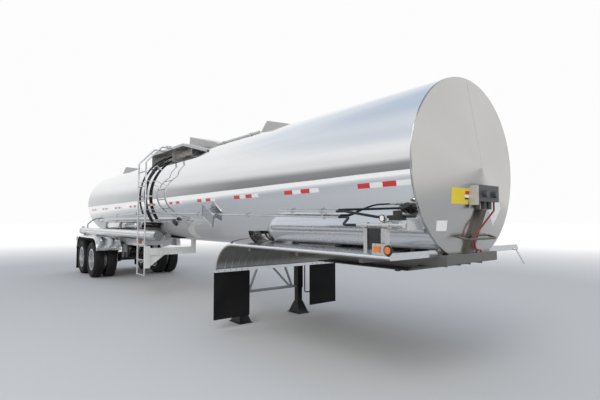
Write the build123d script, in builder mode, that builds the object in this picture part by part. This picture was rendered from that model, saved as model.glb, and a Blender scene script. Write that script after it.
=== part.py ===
from build123d import *
import math
import os

# Chemical tanker trailer: an insulated stainless tank on a rear tandem, parked on its landing legs.
# Frame: X forward, Y to the left, Z up, millimetres, ground at Z = 0.
# "Station" means the distance behind the front edge of the tank jacket.

# Overall sizes
OVERALL_LENGTH = 13310.0
OVERALL_WIDTH = 2438.4
FRONT_REACH = 260.0
REAR_REACH = 500.0
HALF_WIDTH = OVERALL_WIDTH / 2
X_HEAD = OVERALL_LENGTH / 2 - FRONT_REACH
SEAT_GAP = 0.3
SHEET = 5.0

# Tank
TANK_RADIUS = 965.0
TANK_LENGTH = OVERALL_LENGTH - FRONT_REACH - REAR_REACH
TANK_BELLY_Z = 1189.0
TANK_AXIS_Z = TANK_BELLY_Z + TANK_RADIUS
TANK_TOP_Z = TANK_AXIS_Z + TANK_RADIUS
HEAD_CONE = 175.0
HEAD_RIM = 18.0
HEAD_INSET = 8.0
HEAD_BOSS_RADIUS = 14.0

# Running gear
AXLE_SPREAD = 1245.0
REAR_AXLE_AHEAD = 385.0
REAR_AXLE = TANK_LENGTH - REAR_AXLE_AHEAD
AXLE_STATIONS = (REAR_AXLE - AXLE_SPREAD, REAR_AXLE)
TYRE_RADIUS = 509.0
TYRE_WIDTH = 279.0
DUAL_SPACING = 343.0
AXLE_Z = TYRE_RADIUS
OUTER_TYRE_Y = HALF_WIDTH - TYRE_WIDTH / 2
INNER_TYRE_Y = OUTER_TYRE_Y - DUAL_SPACING
RIM_SEAT_RADIUS = 286.0
AXLE_RADIUS = 63.5
SPINDLE_RADIUS = 45.0
RAIL_TO_TYRE = 157.2
RAIL_Y = INNER_TYRE_Y - TYRE_WIDTH / 2 - RAIL_TO_TYRE
RAIL_WIDTH = 90.0
REAR_FENDER_INNER = INNER_TYRE_Y - TYRE_WIDTH / 2 - 29.0
RAIL_BOTTOM = 960.0
RAIL_TOP = 1130.0
RAIL_FRONT = AXLE_STATIONS[0] - 2320.0
RAIL_REAR = TANK_LENGTH + 350.0
ARM_PIVOT_AHEAD = 560.0
ARM_PIVOT_Z = 640.0
PIVOT_PIN_RADIUS = 22.0
SPRING_BEHIND = 380.0
SPRING_SEAT_Z = 610.0
SPRING_RADIUS = 118.0

# Front fender, coupler and landing gear
DECK_Z = 1297.0
FENDER_FRONT = 35.0
FENDER_FLAT_END = 2790.0
FENDER_RADIUS = 520.0
FENDER_SWEEP = 77.0
BEAD_RADIUS = 22.0
BEAD_PROUD = 3.0
COUPLER_BOTTOM = 1094.0
COUPLER_THICK = 12.0
COUPLER_HALF = 544.0
COUPLER_FRONT = 300.0
COUPLER_REAR = 1750.0
KINGPIN_STATION = 910.0
LEG_STATION = 3580.0
LEG_Y = 589.0
LEG_SIDE = 115.0
LEG_BOTTOM = 430.0
LEG_TOP = TANK_BELLY_Z + 26.0
FLAP_WIDTH = 610.0
FLAP_THICK = 10.0

# Top fittings and ladder
DAM_HALF = 450.0
DAM_TOP = TANK_TOP_Z + 97.0
MANWAY_STATION = TANK_LENGTH / 2 + 725.0
MANWAY_BORE = 254.0
MANWAY_WALL = 14.0
MANWAY_TOP = TANK_TOP_Z + 211.0
LADDER_Y = TANK_RADIUS + 205.0
LADDER_STATIONS = (MANWAY_STATION - 530.0, MANWAY_STATION - 81.0)
LADDER_RAIL_RADIUS = 17.0
LADDER_BOTTOM = 470.0
WALK_EDGE_Y = 620.0

# Valve stand on the front fender
STAND_TOP = 1538.0
STAND_Y = TANK_RADIUS + 165.0
FITTING_RADIUS = 28.0
FITTING_Z = STAND_TOP + FITTING_RADIUS + SEAT_GAP

# Hose tubes
TUBE_RADIUS = 101.6
TUBE_WALL = 3.0
TUBE_Y = TANK_RADIUS + 35.0
TUBE_Z = TANK_BELLY_Z + 116.0
TUBE_LONG = 6830.0
TUBE_REAR = TANK_LENGTH + 450.0
TUBE_FRONT = TUBE_REAR - TUBE_LONG

RIGHT = -1
LEFT = 1
TANK_AXIS = Axis((0, 0, TANK_AXIS_Z), (1, 0, 0))


def station(distance):
    """X of a place the given distance behind the tank's front edge."""
    return X_HEAD - distance


def slab(xs, ys, zs, mode=Mode.ADD):
    """A box between two values on each axis, in either order, in the part being built."""
    with Locations(((xs[0] + xs[1]) / 2, (ys[0] + ys[1]) / 2, (zs[0] + zs[1]) / 2)):
        Box(abs(xs[1] - xs[0]), abs(ys[1] - ys[0]), abs(zs[1] - zs[0]), mode=mode)


def bar(start, end, radius, mode=Mode.ADD):
    """A straight round bar between two points, in the part being built."""
    way = Vector(*end) - Vector(*start)
    middle = (Vector(*start) + Vector(*end)) / 2
    with Locations(Plane(origin=middle, z_dir=way)):
        Cylinder(radius, way.length, mode=mode)


def bent_rod(points, radius, bend, mode=Mode.ADD):
    """A round rod swept along straight runs joined by tangent arcs, in the part being built."""
    with BuildLine() as path:
        FilletPolyline(*points, radius=bend)
    with BuildSketch(Plane(origin=path.line @ 0, z_dir=path.line % 0)) as profile:
        Circle(radius)
    sweep(profile.sketch, path=path.line, mode=mode)


def clear_of_tank(gap=SEAT_GAP):
    """Cut away what would enter the tank jacket, leaving the given gap."""
    with Locations(Plane(origin=(station(TANK_LENGTH / 2), 0, TANK_AXIS_Z), z_dir=(1, 0, 0))):
        Cylinder(TANK_RADIUS + gap, TANK_LENGTH + 2 * gap, mode=Mode.SUBTRACT)


def head_solid(edge_x, way, grow=0.0, mode=Mode.ADD):
    """A shallow conical head revolved about the tank axis; way is +1 at the front, -1 at the rear."""
    with BuildSketch(Plane.XZ) as profile:
        with BuildLine():
            Polyline(
                (edge_x, TANK_AXIS_Z),
                (edge_x, TANK_AXIS_Z + TANK_RADIUS - HEAD_INSET),
                (edge_x + way * (HEAD_RIM + grow), TANK_AXIS_Z + TANK_RADIUS - HEAD_INSET),
                (edge_x + way * (HEAD_CONE + grow), TANK_AXIS_Z + HEAD_BOSS_RADIUS),
                (edge_x + way * (HEAD_CONE + grow), TANK_AXIS_Z),
                close=True,
            )
        make_face()
    revolve(profile.sketch, axis=TANK_AXIS, mode=mode)


def head_x(y, z):
    """X of the front head's surface at the given place."""
    reach = math.hypot(y, z - TANK_AXIS_Z) - HEAD_BOSS_RADIUS
    span = TANK_RADIUS - HEAD_INSET - HEAD_BOSS_RADIUS
    return X_HEAD + HEAD_CONE - (HEAD_CONE - HEAD_RIM) * reach / span


def tank_plane(at_station, angle, side=RIGHT, lift=SEAT_GAP):
    """Plane on the jacket: its normal leaves the tank, its x runs forward; angle is above level."""
    out_y = side * math.cos(math.radians(angle))
    out_z = math.sin(math.radians(angle))
    reach = TANK_RADIUS + lift
    return Plane(
        origin=(station(at_station), reach * out_y, TANK_AXIS_Z + reach * out_z),
        x_dir=(1, 0, 0),
        z_dir=(0, out_y, out_z),
    )


def tank_side(z):
    """How far the jacket stands out from the middle at the given height."""
    return math.sqrt(TANK_RADIUS**2 - (z - TANK_AXIS_Z) ** 2)


def save(builder, name):
    """Label the finished piece and write it as a STEP file."""
    builder.part.label = name
    export_step(builder.part, f"parts/{name}.step")


os.makedirs("parts", exist_ok=True)

# Tank jacket and its two heads
with BuildPart() as tank_shell:
    with BuildSketch(Plane.YZ.offset(station(TANK_LENGTH))):
        with Locations((0, TANK_AXIS_Z)):
            Circle(TANK_RADIUS)
    extrude(amount=TANK_LENGTH)
save(tank_shell, "tank_shell")

with BuildPart() as tank_heads:
    head_solid(X_HEAD, 1)
    head_solid(station(TANK_LENGTH), -1)
save(tank_heads, "tank_heads")

# Rollover guards: folded wedge boxes on the top line, steep behind and ramped to the front
GUARD_HALF = 250.0
GUARD_FOOT_DROP = 14.0
GUARDS = (
    # rear foot, rear top, front toe, height over the tank
    (3567.0, 3359.0, 2640.0, 145.0),
    (MANWAY_STATION - 580.0, MANWAY_STATION - 620.0, MANWAY_STATION - 2240.0, 351.0),
    (TANK_LENGTH - 1151.0, TANK_LENGTH - 1496.0, TANK_LENGTH - 2950.0, 157.0),
)
guard_foot_z = TANK_AXIS_Z + math.sqrt(TANK_RADIUS**2 - GUARD_HALF**2) - GUARD_FOOT_DROP
with BuildPart() as rollover_guards:
    for rear, crest, toe, height in GUARDS:
        with BuildSketch(Plane.XZ):
            with BuildLine():
                Polyline(
                    (station(rear), guard_foot_z),
                    (station(crest), TANK_TOP_Z + height),
                    (station(toe), guard_foot_z),
                    close=True,
                )
            make_face()
        extrude(amount=GUARD_HALF, both=True)
    clear_of_tank()
save(rollover_guards, "rollover_guards")

# Spill dam: a coaming of upright plate round the manway, its sides running down to the tank in front
DAM_WALL = 6.0
DAM_REAR = MANWAY_STATION + 900.0
DAM_SLOPE = MANWAY_STATION - 1100.0
DAM_FRONT = MANWAY_STATION - 2200.0
DAM_DROP = 269.0
DAM_FOOT = DAM_TOP - 300.0
with BuildPart() as spill_dam:
    with BuildSketch(Plane.XZ):
        with BuildLine():
            Polyline(
                (station(DAM_REAR), DAM_FOOT),
                (station(DAM_REAR), DAM_TOP),
                (station(DAM_SLOPE), DAM_TOP),
                (station(DAM_FRONT), DAM_TOP - DAM_DROP),
                (station(DAM_FRONT), DAM_FOOT),
                close=True,
            )
        make_face()
    extrude(amount=DAM_HALF, both=True)
    slab(
        (station(DAM_REAR - DAM_WALL), station(DAM_FRONT - DAM_WALL)),
        (DAM_WALL - DAM_HALF, DAM_HALF - DAM_WALL),
        (DAM_FOOT - DAM_WALL, DAM_TOP + DAM_WALL),
        mode=Mode.SUBTRACT,
    )
    clear_of_tank()
save(spill_dam, "spill_dam")

# Manway neck with its hinge lugs, and the domed lid that swings on them
HINGE_BACK = 322.0
HINGE_Z = MANWAY_TOP + 10.0
HINGE_PIN = 9.0
LUG_Y = (48.0, 62.0)
MANWAY_NECK = MANWAY_BORE + MANWAY_WALL
MANWAY_FLANGE = 295.0
hinge_x = station(MANWAY_STATION + HINGE_BACK)
NECK_DEEP = 320.0
FLANGE_THICK = 24.0
LUG_DEEP = 60.0
LUG_EYE = 22.0
manway_x = station(MANWAY_STATION)
neck_back_x = station(MANWAY_STATION + MANWAY_NECK)
with BuildPart() as manway_collar:
    with Locations((manway_x, 0, MANWAY_TOP - NECK_DEEP / 2)):
        Cylinder(MANWAY_NECK, NECK_DEEP)
    with Locations((manway_x, 0, MANWAY_TOP - FLANGE_THICK / 2)):
        Cylinder(MANWAY_FLANGE, FLANGE_THICK)
    for side in (RIGHT, LEFT):
        lug_y = (side * LUG_Y[0], side * LUG_Y[1])
        slab((hinge_x - LUG_EYE, neck_back_x), lug_y, (MANWAY_TOP - LUG_DEEP, HINGE_Z + LUG_EYE))
        slab(
            (hinge_x + LUG_EYE - 2, manway_x),
            lug_y,
            (MANWAY_TOP - 0.01, HINGE_Z + LUG_EYE + 2),
            mode=Mode.SUBTRACT,
        )
    with Locations((manway_x, 0, MANWAY_TOP - NECK_DEEP / 2)):
        Cylinder(MANWAY_BORE, NECK_DEEP + 10, mode=Mode.SUBTRACT)
    bar((hinge_x, -80, HINGE_Z), (hinge_x, 80, HINGE_Z), HINGE_PIN + SEAT_GAP, mode=Mode.SUBTRACT)
    clear_of_tank()
save(manway_collar, "manway_collar")

LID_THICK = 14.0
LID_DOME = 46.0
lid_floor = MANWAY_TOP + SEAT_GAP
LID_GRIP = 70.0
lid_top = lid_floor + LID_THICK
grip_x = manway_x + MANWAY_BORE + 8
with BuildPart() as manway_lid:
    with BuildSketch(Plane.XZ):
        with BuildLine():
            Polyline(
                (manway_x, lid_floor),
                (manway_x + MANWAY_FLANGE, lid_floor),
                (manway_x + MANWAY_FLANGE, lid_top),
                (manway_x + MANWAY_BORE, lid_top),
            )
            ThreePointArc(
                (manway_x + MANWAY_BORE, lid_top),
                (manway_x + MANWAY_BORE * 0.55, lid_top + LID_DOME * 0.72),
                (manway_x, lid_top + LID_DOME),
            )
            Line((manway_x, lid_top + LID_DOME), (manway_x, lid_floor))
        make_face()
    revolve(axis=Axis((manway_x, 0, 0), (0, 0, 1)))
    slab((hinge_x, manway_x - MANWAY_BORE), (-LUG_Y[0] + 6, LUG_Y[0] - 6), (lid_floor, lid_top))
    bar((hinge_x, -LUG_Y[1] - 6, HINGE_Z), (hinge_x, LUG_Y[1] + 6, HINGE_Z), HINGE_PIN)
    bent_rod(
        (
            (grip_x, -LID_GRIP, lid_top - 2),
            (grip_x, -LID_GRIP, lid_floor + LID_GRIP),
            (grip_x, LID_GRIP, lid_floor + LID_GRIP),
            (grip_x, LID_GRIP, lid_top - 2),
        ),
        8,
        24,
    )
save(manway_lid, "manway_lid")

# Relief vent and capped air connection behind the manway
VENT_STATION = MANWAY_STATION + 600.0
VENTS = (
    # station, y, body radius, cap radius, body height over the tank
    (VENT_STATION, 170.0, 72.0, 95.0, 171.0),
    (VENT_STATION, -250.0, 54.0, 66.0, 281.0),
)
VENT_CAP = 38.0
VENT_PAD_TOP = TANK_TOP_Z + 21.0
vent_foot = VENT_PAD_TOP - 80.0
with BuildPart() as top_vents:
    for at_station, y, body, cap, height in VENTS:
        top = TANK_TOP_Z + height
        slab(
            (station(at_station) - body, station(at_station) + body),
            (y - body, y + body),
            (vent_foot, VENT_PAD_TOP),
        )
        with Locations((station(at_station), y, (vent_foot + top) / 2)):
            Cylinder(body * 0.82, top - vent_foot)
        with Locations((station(at_station), y, top + VENT_CAP / 2)):
            Cylinder(cap, VENT_CAP)
    clear_of_tank()
save(top_vents, "top_vents")

# Walkway beside the dam: a plate with a turned-down edge on three bracket plates
WALK_REAR = DAM_REAR - 150.0
WALK_THICK = 10.0
WALK_LIP = 50.0
WALK_BRACKETS = (DAM_SLOPE - 430.0, DAM_SLOPE + 540.0, WALK_REAR - 50.0)
BRACKET_HALF = 4.0


def walk_top(at_station):
    """Height of the walkway's top, which runs down to the front as the dam's sides do."""
    ahead = max(0.0, DAM_SLOPE - at_station)
    return DAM_TOP - DAM_DROP * ahead / (DAM_SLOPE - DAM_FRONT)


def walk_strip(plane, depth):
    """The walkway's side view as a strip of the given depth."""
    with BuildSketch(plane) as strip:
        with BuildLine():
            corners = [(station(at), walk_top(at)) for at in (WALK_REAR, DAM_SLOPE, DAM_FRONT)]
            below = [(x, z - depth) for x, z in reversed(corners)]
            Polyline(*corners, *below, close=True)
        make_face()
    return strip.sketch


with BuildPart() as walkway:
    walk_inner_y = DAM_HALF + SEAT_GAP
    extrude(walk_strip(Plane.XZ.offset(walk_inner_y), WALK_THICK), amount=WALK_EDGE_Y - walk_inner_y)
    extrude(walk_strip(Plane.XZ.offset(WALK_EDGE_Y - DAM_WALL), WALK_LIP), amount=DAM_WALL)
    for at_station in WALK_BRACKETS:
        slab(
            (station(at_station) - BRACKET_HALF, station(at_station) + BRACKET_HALF),
            (-WALK_EDGE_Y + DAM_WALL / 2, -walk_inner_y),
            (DAM_FOOT - 100, walk_top(at_station) - WALK_THICK / 2),
        )
    clear_of_tank()
save(walkway, "walkway")

# Drain hoses run round the tank here; the clips that hold them are cut by the same ring
HOSE_RADIUS = 19.0
HOSE_LIFT = 58.0
HOSE_STATIONS = (MANWAY_STATION - 130.0, MANWAY_STATION - 40.0, MANWAY_STATION + 270.0)


def hose_ring(at_station, gap):
    """Cut a ring round the tank for a drain hose, with the given gap, from the part being built."""
    with BuildSketch(Plane.XZ) as section:
        with Locations((station(at_station), TANK_AXIS_Z + TANK_RADIUS + HOSE_LIFT)):
            Circle(HOSE_RADIUS + gap)
    revolve(section.sketch, axis=TANK_AXIS, mode=Mode.SUBTRACT)


# Ladder rails: tube up the side, then over the shoulder of the tank to the edge of the walkway
RUNG_PITCH = 309.0
RUNG_COUNT = 8
RUNG_RADIUS = 13.0
RAIL_BEND = 55.0
SHOULDER_Z = TANK_TOP_Z - 269.0
SHOULDER_Y = WALK_EDGE_Y + 220.0
with BuildPart() as ladder_rails:
    for at_station in LADDER_STATIONS:
        bent_rod(
            (
                (station(at_station), -LADDER_Y, LADDER_BOTTOM),
                (station(at_station), -LADDER_Y, SHOULDER_Z),
                (station(at_station), -SHOULDER_Y, DAM_TOP - WALK_LIP / 2),
                (station(at_station), -WALK_EDGE_Y - SEAT_GAP, DAM_TOP - WALK_LIP / 2),
            ),
            LADDER_RAIL_RADIUS,
            RAIL_BEND,
        )
save(ladder_rails, "ladder_rails")

with BuildPart() as ladder_rungs:
    for count in range(RUNG_COUNT):
        rung_z = LADDER_BOTTOM + 20 + count * RUNG_PITCH
        near = station(LADDER_STATIONS[0] + LADDER_RAIL_RADIUS + SEAT_GAP)
        far = station(LADDER_STATIONS[1] - LADDER_RAIL_RADIUS - SEAT_GAP)
        bar((near, -LADDER_Y, rung_z), (far, -LADDER_Y, rung_z), RUNG_RADIUS)
save(ladder_rungs, "ladder_rungs")

# Outrigger that carries the ladder's foot: a post under the belly, a box beam, an end plate and a gusset
OUTRIGGER_AHEAD = LADDER_STATIONS[0] - LADDER_RAIL_RADIUS - SEAT_GAP
OUTRIGGER_WIDE = 60.0
BEAM_Z = (905.0, 1050.0)
END_PLATE_Z = (640.0, 1095.0)
POST_Y = (-157.0, -77.0)
GUSSET_REACH = 325.0
GUSSET_THICK = 10.0
end_plate_y = -LADDER_Y + LADDER_RAIL_RADIUS + 73
with BuildPart() as ladder_outrigger:
    beam_x = (station(OUTRIGGER_AHEAD), station(OUTRIGGER_AHEAD - OUTRIGGER_WIDE))
    post_x = (station(OUTRIGGER_AHEAD + 10), station(OUTRIGGER_AHEAD - OUTRIGGER_WIDE - 10))
    slab(post_x, POST_Y, (BEAM_Z[0], TANK_BELLY_Z + 60))
    slab(beam_x, (end_plate_y - 10, POST_Y[1] - 10), BEAM_Z)
    slab(beam_x, (-LADDER_Y - 14, end_plate_y), END_PLATE_Z)
    with BuildSketch(Plane.YZ.offset(station(OUTRIGGER_AHEAD - OUTRIGGER_WIDE / 2 + GUSSET_THICK / 2))):
        with BuildLine():
            Polyline(
                (end_plate_y - 5, END_PLATE_Z[0] + 20),
                (end_plate_y - 5, BEAM_Z[0] + 5),
                (end_plate_y + GUSSET_REACH, BEAM_Z[0] + 5),
                close=True,
            )
        make_face()
    extrude(amount=GUSSET_THICK)
    clear_of_tank()
save(ladder_outrigger, "ladder_outrigger")

# Bare lines along the curb side of the tank and a thicker one along the top
PIPE_RADIUS = 13.0
PIPE_LIFT = 19.0
TOP_PIPE_RADIUS = 22.0
PIPE_BEND = 600.0
CLIP_INSET = 250.0
CLIP_PITCH = 1640.0
# Each pipe: radius, lift of its line, then station and angle above level of each corner
LOWER_ANGLE = -34.6
TOP_ANGLE = 72.0
MAIN_PIPE = (
    PIPE_RADIUS,
    PIPE_LIFT,
    ((1050.0, -30.8), (MANWAY_STATION + 100.0, -21.6), (TANK_LENGTH - 1150.0, -25.2)),
)
SHORT_PIPE = (PIPE_RADIUS, PIPE_LIFT, ((1050.0, -26.6), (2100.0, -25.0)))
LOWER_PIPE = (
    PIPE_RADIUS,
    PIPE_LIFT,
    ((MANWAY_STATION - 2020.0, LOWER_ANGLE), (TANK_LENGTH - 850.0, LOWER_ANGLE)),
)
TOP_PIPE = (
    TOP_PIPE_RADIUS,
    TOP_PIPE_RADIUS + 2,
    ((MANWAY_STATION - 3500.0, TOP_ANGLE), (DAM_FRONT + 150.0, TOP_ANGLE)),
)
PIPES = (MAIN_PIPE, SHORT_PIPE, LOWER_PIPE, TOP_PIPE)


def pipe_run(pipe, gap=0.0, mode=Mode.ADD):
    """A pipe laid on the tank from corner to corner, grown by the gap, in the part being built."""
    radius, lift, corners = pipe
    points = [tuple(tank_plane(at, angle, lift=lift).origin) for at, angle in corners]
    if len(points) == 2:
        bar(*points, radius + gap, mode=mode)
    else:
        bent_rod(points, radius + gap, PIPE_BEND, mode=mode)


def pipe_angle(pipe, at_station):
    """Angle of a pipe where it passes the given station."""
    corners = pipe[2]
    for (start, first), (end, last) in zip(corners, corners[1:]):
        if start <= at_station <= end:
            return first + (last - first) * (at_station - start) / (end - start)


def clip_stations(pipe):
    """Stations of a pipe's clips, evenly spread about one pitch apart between its ends."""
    first = pipe[2][0][0] + CLIP_INSET
    last = pipe[2][-1][0] - CLIP_INSET
    spaces = max(1, round((last - first) / CLIP_PITCH))
    return [first + (last - first) * count / spaces for count in range(spaces + 1)]


with BuildPart() as side_pipes:
    for pipe in PIPES:
        pipe_run(pipe)
save(side_pipes, "side_pipes")

# Clips that hold the pipes, the drain hoses and the ladder off the tank
CLIP_LONG = 30.0
CLIP_WIDE = 40.0
HOSE_CLIP_LONG = 60.0
LADDER_CLIP_HALF = 15.0
LADDER_CLIP_Z = (TANK_AXIS_Z - 304.0, TANK_AXIS_Z + 296.0)
with BuildPart() as clips:
    for pipe in PIPES:
        radius, lift, corners = pipe
        for at_station in clip_stations(pipe):
            with BuildSketch(tank_plane(at_station, pipe_angle(pipe, at_station))):
                Rectangle(CLIP_LONG, CLIP_WIDE + radius)
            extrude(amount=lift + radius + 4)
    for at_station in HOSE_STATIONS:
        for angle in (40.0, 0.0):
            with BuildSketch(tank_plane(at_station, angle)):
                Rectangle(HOSE_CLIP_LONG, CLIP_LONG)
            extrude(amount=HOSE_LIFT + HOSE_RADIUS + 6)
    for at_station in LADDER_STATIONS:
        for clip_z in LADDER_CLIP_Z:
            slab(
                (station(at_station) - LADDER_CLIP_HALF, station(at_station) + LADDER_CLIP_HALF),
                (-LADDER_Y + LADDER_RAIL_RADIUS + SEAT_GAP, -tank_side(clip_z) + 50),
                (clip_z - DAM_WALL, clip_z + DAM_WALL),
            )
    for pipe in PIPES:
        pipe_run(pipe, gap=SEAT_GAP, mode=Mode.SUBTRACT)
    for at_station in HOSE_STATIONS:
        hose_ring(at_station, SEAT_GAP)
    clear_of_tank()
save(clips, "clips")

# Black hoses: three drains down the curb side, two lines to the front valves, one drop at the rear
DRAIN_TOP = 66.0
DRAIN_LOW = (-33.0, -33.0, -22.0)
LINE_HOSE_RADIUS = 14.0
LINE_HOSE_BEND = 110.0
LINE_GAP = 0.8
SHELF_HOSE = (250.0, -TANK_RADIUS + 30.0, TANK_BELLY_Z + 456.0)
FITTING_HOSE = (530.0, -STAND_Y + 30.0, FITTING_Z)
REAR_DROP = (TANK_LENGTH - 170.0, -31.0)


def pipe_end(pipe, ahead):
    """A point on a side pipe's line, the given distance ahead of its front end."""
    front, angle = pipe[2][0]
    return tuple(tank_plane(front - LINE_GAP - ahead, angle, lift=PIPE_LIFT).origin)


with BuildPart() as rubber_hoses:
    for at_station, low in zip(HOSE_STATIONS, DRAIN_LOW):
        ring = Plane(origin=(station(at_station), 0, TANK_AXIS_Z), z_dir=(-1, 0, 0), x_dir=(0, -1, 0))
        with BuildLine(ring) as path:
            CenterArc((0, 0), TANK_RADIUS + HOSE_LIFT, low, DRAIN_TOP - low)
        with BuildSketch(Plane(origin=path.line @ 0, z_dir=path.line % 0)):
            Circle(HOSE_RADIUS)
        sweep()
    slab(
        (station(DAM_REAR), station(DAM_FRONT)),
        (-DAM_HALF - SEAT_GAP, 0),
        (DAM_FOOT - 100, DAM_TOP),
        mode=Mode.SUBTRACT,
    )
    for pipe, run_in, (front, y, z) in ((SHORT_PIPE, 120.0, SHELF_HOSE), (MAIN_PIPE, 160.0, FITTING_HOSE)):
        bent_rod(
            (
                pipe_end(pipe, 0.0),
                pipe_end(pipe, run_in),
                (station(front + run_in + 40), y, z),
                (station(front + SEAT_GAP), y, z),
            ),
            LINE_HOSE_RADIUS,
            LINE_HOSE_BEND,
        )
    drop_start = tank_plane(*REAR_DROP, lift=LINE_GAP).origin
    drop_out = tank_plane(*REAR_DROP, lift=80).origin
    tube_top = TUBE_Z + TUBE_RADIUS
    bent_rod(
        (
            tuple(drop_start),
            tuple(drop_out),
            (drop_out.X, -TUBE_Y, tube_top + 110),
            (drop_out.X, -TUBE_Y, tube_top + LINE_GAP),
        ),
        LINE_HOSE_RADIUS,
        40,
    )
save(rubber_hoses, "rubber_hoses")

# Diamond placard holders on both sides, each standing off the jacket on two short posts
PLACARD_STATION = 4070.0
PLACARD_ANGLE = -25.5
PLACARD_LIFT = 66.0
PLACARD_SIDE = 305.0
PLACARD_THICK = 22.0
PLACARD_POST = 95.0
POST_SINK = 12.0
with BuildPart() as placard_holders:
    for side in (RIGHT, LEFT):
        with BuildSketch(tank_plane(PLACARD_STATION, PLACARD_ANGLE, side, PLACARD_LIFT)):
            Rectangle(PLACARD_SIDE, PLACARD_SIDE, rotation=45)
        extrude(amount=PLACARD_THICK)
        with BuildSketch(tank_plane(PLACARD_STATION, PLACARD_ANGLE, side, -POST_SINK)):
            with Locations((0, PLACARD_POST), (0, -PLACARD_POST)):
                Rectangle(40, 12)
        extrude(amount=POST_SINK + PLACARD_LIFT + 2)
    clear_of_tank()
save(placard_holders, "placard_holders")

# Coupler: pick-up plate with its front ramp, kingpin, and the welded frame up to the belly
with BuildPart() as coupler_plate:
    with BuildSketch(Plane.XZ):
        with BuildLine():
            Polyline(
                (station(COUPLER_REAR), COUPLER_BOTTOM),
                (station(COUPLER_FRONT + 60), COUPLER_BOTTOM),
                (station(COUPLER_FRONT), COUPLER_BOTTOM + 34),
                (station(COUPLER_FRONT), COUPLER_BOTTOM + 34 + COUPLER_THICK),
                (station(COUPLER_FRONT + 64), COUPLER_BOTTOM + COUPLER_THICK),
                (station(COUPLER_REAR), COUPLER_BOTTOM + COUPLER_THICK),
                close=True,
            )
        make_face()
    extrude(amount=COUPLER_HALF, both=True)
save(coupler_plate, "coupler_plate")

KINGPIN_STEPS = (
    # radius, top below the plate, bottom below the plate
    (60.0, 0.0, 8.0),
    (36.5, 8.0, 40.0),
    (25.4, 40.0, 70.0),
    (35.7, 70.0, 88.0),
)
with BuildPart() as kingpin:
    for radius, top, bottom in KINGPIN_STEPS:
        with Locations((station(KINGPIN_STATION), 0, COUPLER_BOTTOM - (top + bottom) / 2)):
            Cylinder(radius, bottom - top)
save(kingpin, "kingpin")

WEB_THICK = 12.0
COUPLER_TOP = COUPLER_BOTTOM + COUPLER_THICK
FRAME_REAR = 2600.0
WEB_Y = (105.0, 345.0)
WEB_TOP = TANK_BELLY_Z + 211.0
CROSS_STATIONS = (370.0, 1050.0, 1738.0, 2588.0)
BOLSTER_HALF = 490.0
BOLSTER_Z = (1180.0, 1277.0)
BOLSTER_NOSE = 62.0
BOLSTER_REAR = 40.0
with BuildPart() as coupler_frame:
    for side in (RIGHT, LEFT):
        for web_y in WEB_Y:
            web = (side * (web_y - WEB_THICK), side * web_y)
            slab((station(FRAME_REAR), station(COUPLER_FRONT + 70)), web, (COUPLER_TOP, WEB_TOP))
            slab((station(COUPLER_FRONT + 71), station(BOLSTER_REAR - 10)), web, (COUPLER_TOP + 40, WEB_TOP))
    for cross in CROSS_STATIONS:
        slab((station(cross), station(cross + WEB_THICK)), (-WEB_Y[1], WEB_Y[1]), (COUPLER_TOP, WEB_TOP))
    slab((station(BOLSTER_REAR), station(-BOLSTER_NOSE)), (-BOLSTER_HALF, BOLSTER_HALF), BOLSTER_Z)
    clear_of_tank()
    head_solid(X_HEAD, 1, grow=SEAT_GAP, mode=Mode.SUBTRACT)
save(coupler_frame, "coupler_frame")

# Front fender: one sheet across the trailer, flat deck then a quarter round, with rolled side beads,
# an upright front edge and a stiffening bar along its tail
FENDER_BAR = 42.0
FENDER_EDGE_Z = (DECK_Z - 40.0, DECK_Z + 25.0)
FENDER_TANK_GAP = 14.0
SHEET_HALF = HALF_WIDTH - BEAD_RADIUS
fender_turn_x = station(FENDER_FLAT_END)
fender_turn_z = DECK_Z - FENDER_RADIUS
fender_end_x = fender_turn_x - FENDER_RADIUS * math.sin(math.radians(FENDER_SWEEP))
fender_end_z = fender_turn_z + FENDER_RADIUS * math.cos(math.radians(FENDER_SWEEP))
with BuildPart() as front_fender:
    with BuildSketch(Plane.XZ):
        with BuildLine():
            Line((station(FENDER_FRONT), DECK_Z), (fender_turn_x, DECK_Z))
            outer = CenterArc((fender_turn_x, fender_turn_z), FENDER_RADIUS, 90, FENDER_SWEEP)
            inner = CenterArc((fender_turn_x, fender_turn_z), FENDER_RADIUS - SHEET, 90, FENDER_SWEEP)
            Line(outer @ 1, inner @ 1)
            Line((fender_turn_x, DECK_Z - SHEET), (station(FENDER_FRONT), DECK_Z - SHEET))
            Line((station(FENDER_FRONT), DECK_Z - SHEET), (station(FENDER_FRONT), DECK_Z))
        make_face()
    extrude(amount=SHEET_HALF, both=True)
    bead_z = DECK_Z + BEAD_PROUD - BEAD_RADIUS
    for side in (RIGHT, LEFT):
        with BuildLine(Plane.XZ.offset(-side * SHEET_HALF)) as bead:
            Line((station(FENDER_FRONT), bead_z), (fender_turn_x, bead_z))
            CenterArc((fender_turn_x, fender_turn_z), bead_z - fender_turn_z, 90, FENDER_SWEEP)
        with BuildSketch(Plane(origin=bead.line @ 0, z_dir=bead.line % 0)):
            Circle(BEAD_RADIUS)
        sweep(path=bead.line)
        slab(
            (station(FENDER_FRONT + SHEET), station(FENDER_FRONT)),
            (side * (BOLSTER_HALF + 6), side * (SHEET_HALF - BEAD_PROUD)),
            FENDER_EDGE_Z,
        )
    slab(
        (fender_end_x - 8, fender_end_x + 30),
        (-HALF_WIDTH, HALF_WIDTH),
        (fender_end_z - FENDER_BAR, fender_end_z + 4),
    )
    slab(
        (station(BOLSTER_REAR + 20), station(-BOLSTER_NOSE)),
        (-BOLSTER_HALF - 5, BOLSTER_HALF + 5),
        (BOLSTER_Z[0], FENDER_EDGE_Z[1] + 5),
        mode=Mode.SUBTRACT,
    )
    clear_of_tank(FENDER_TANK_GAP)
save(front_fender, "front_fender")

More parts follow.
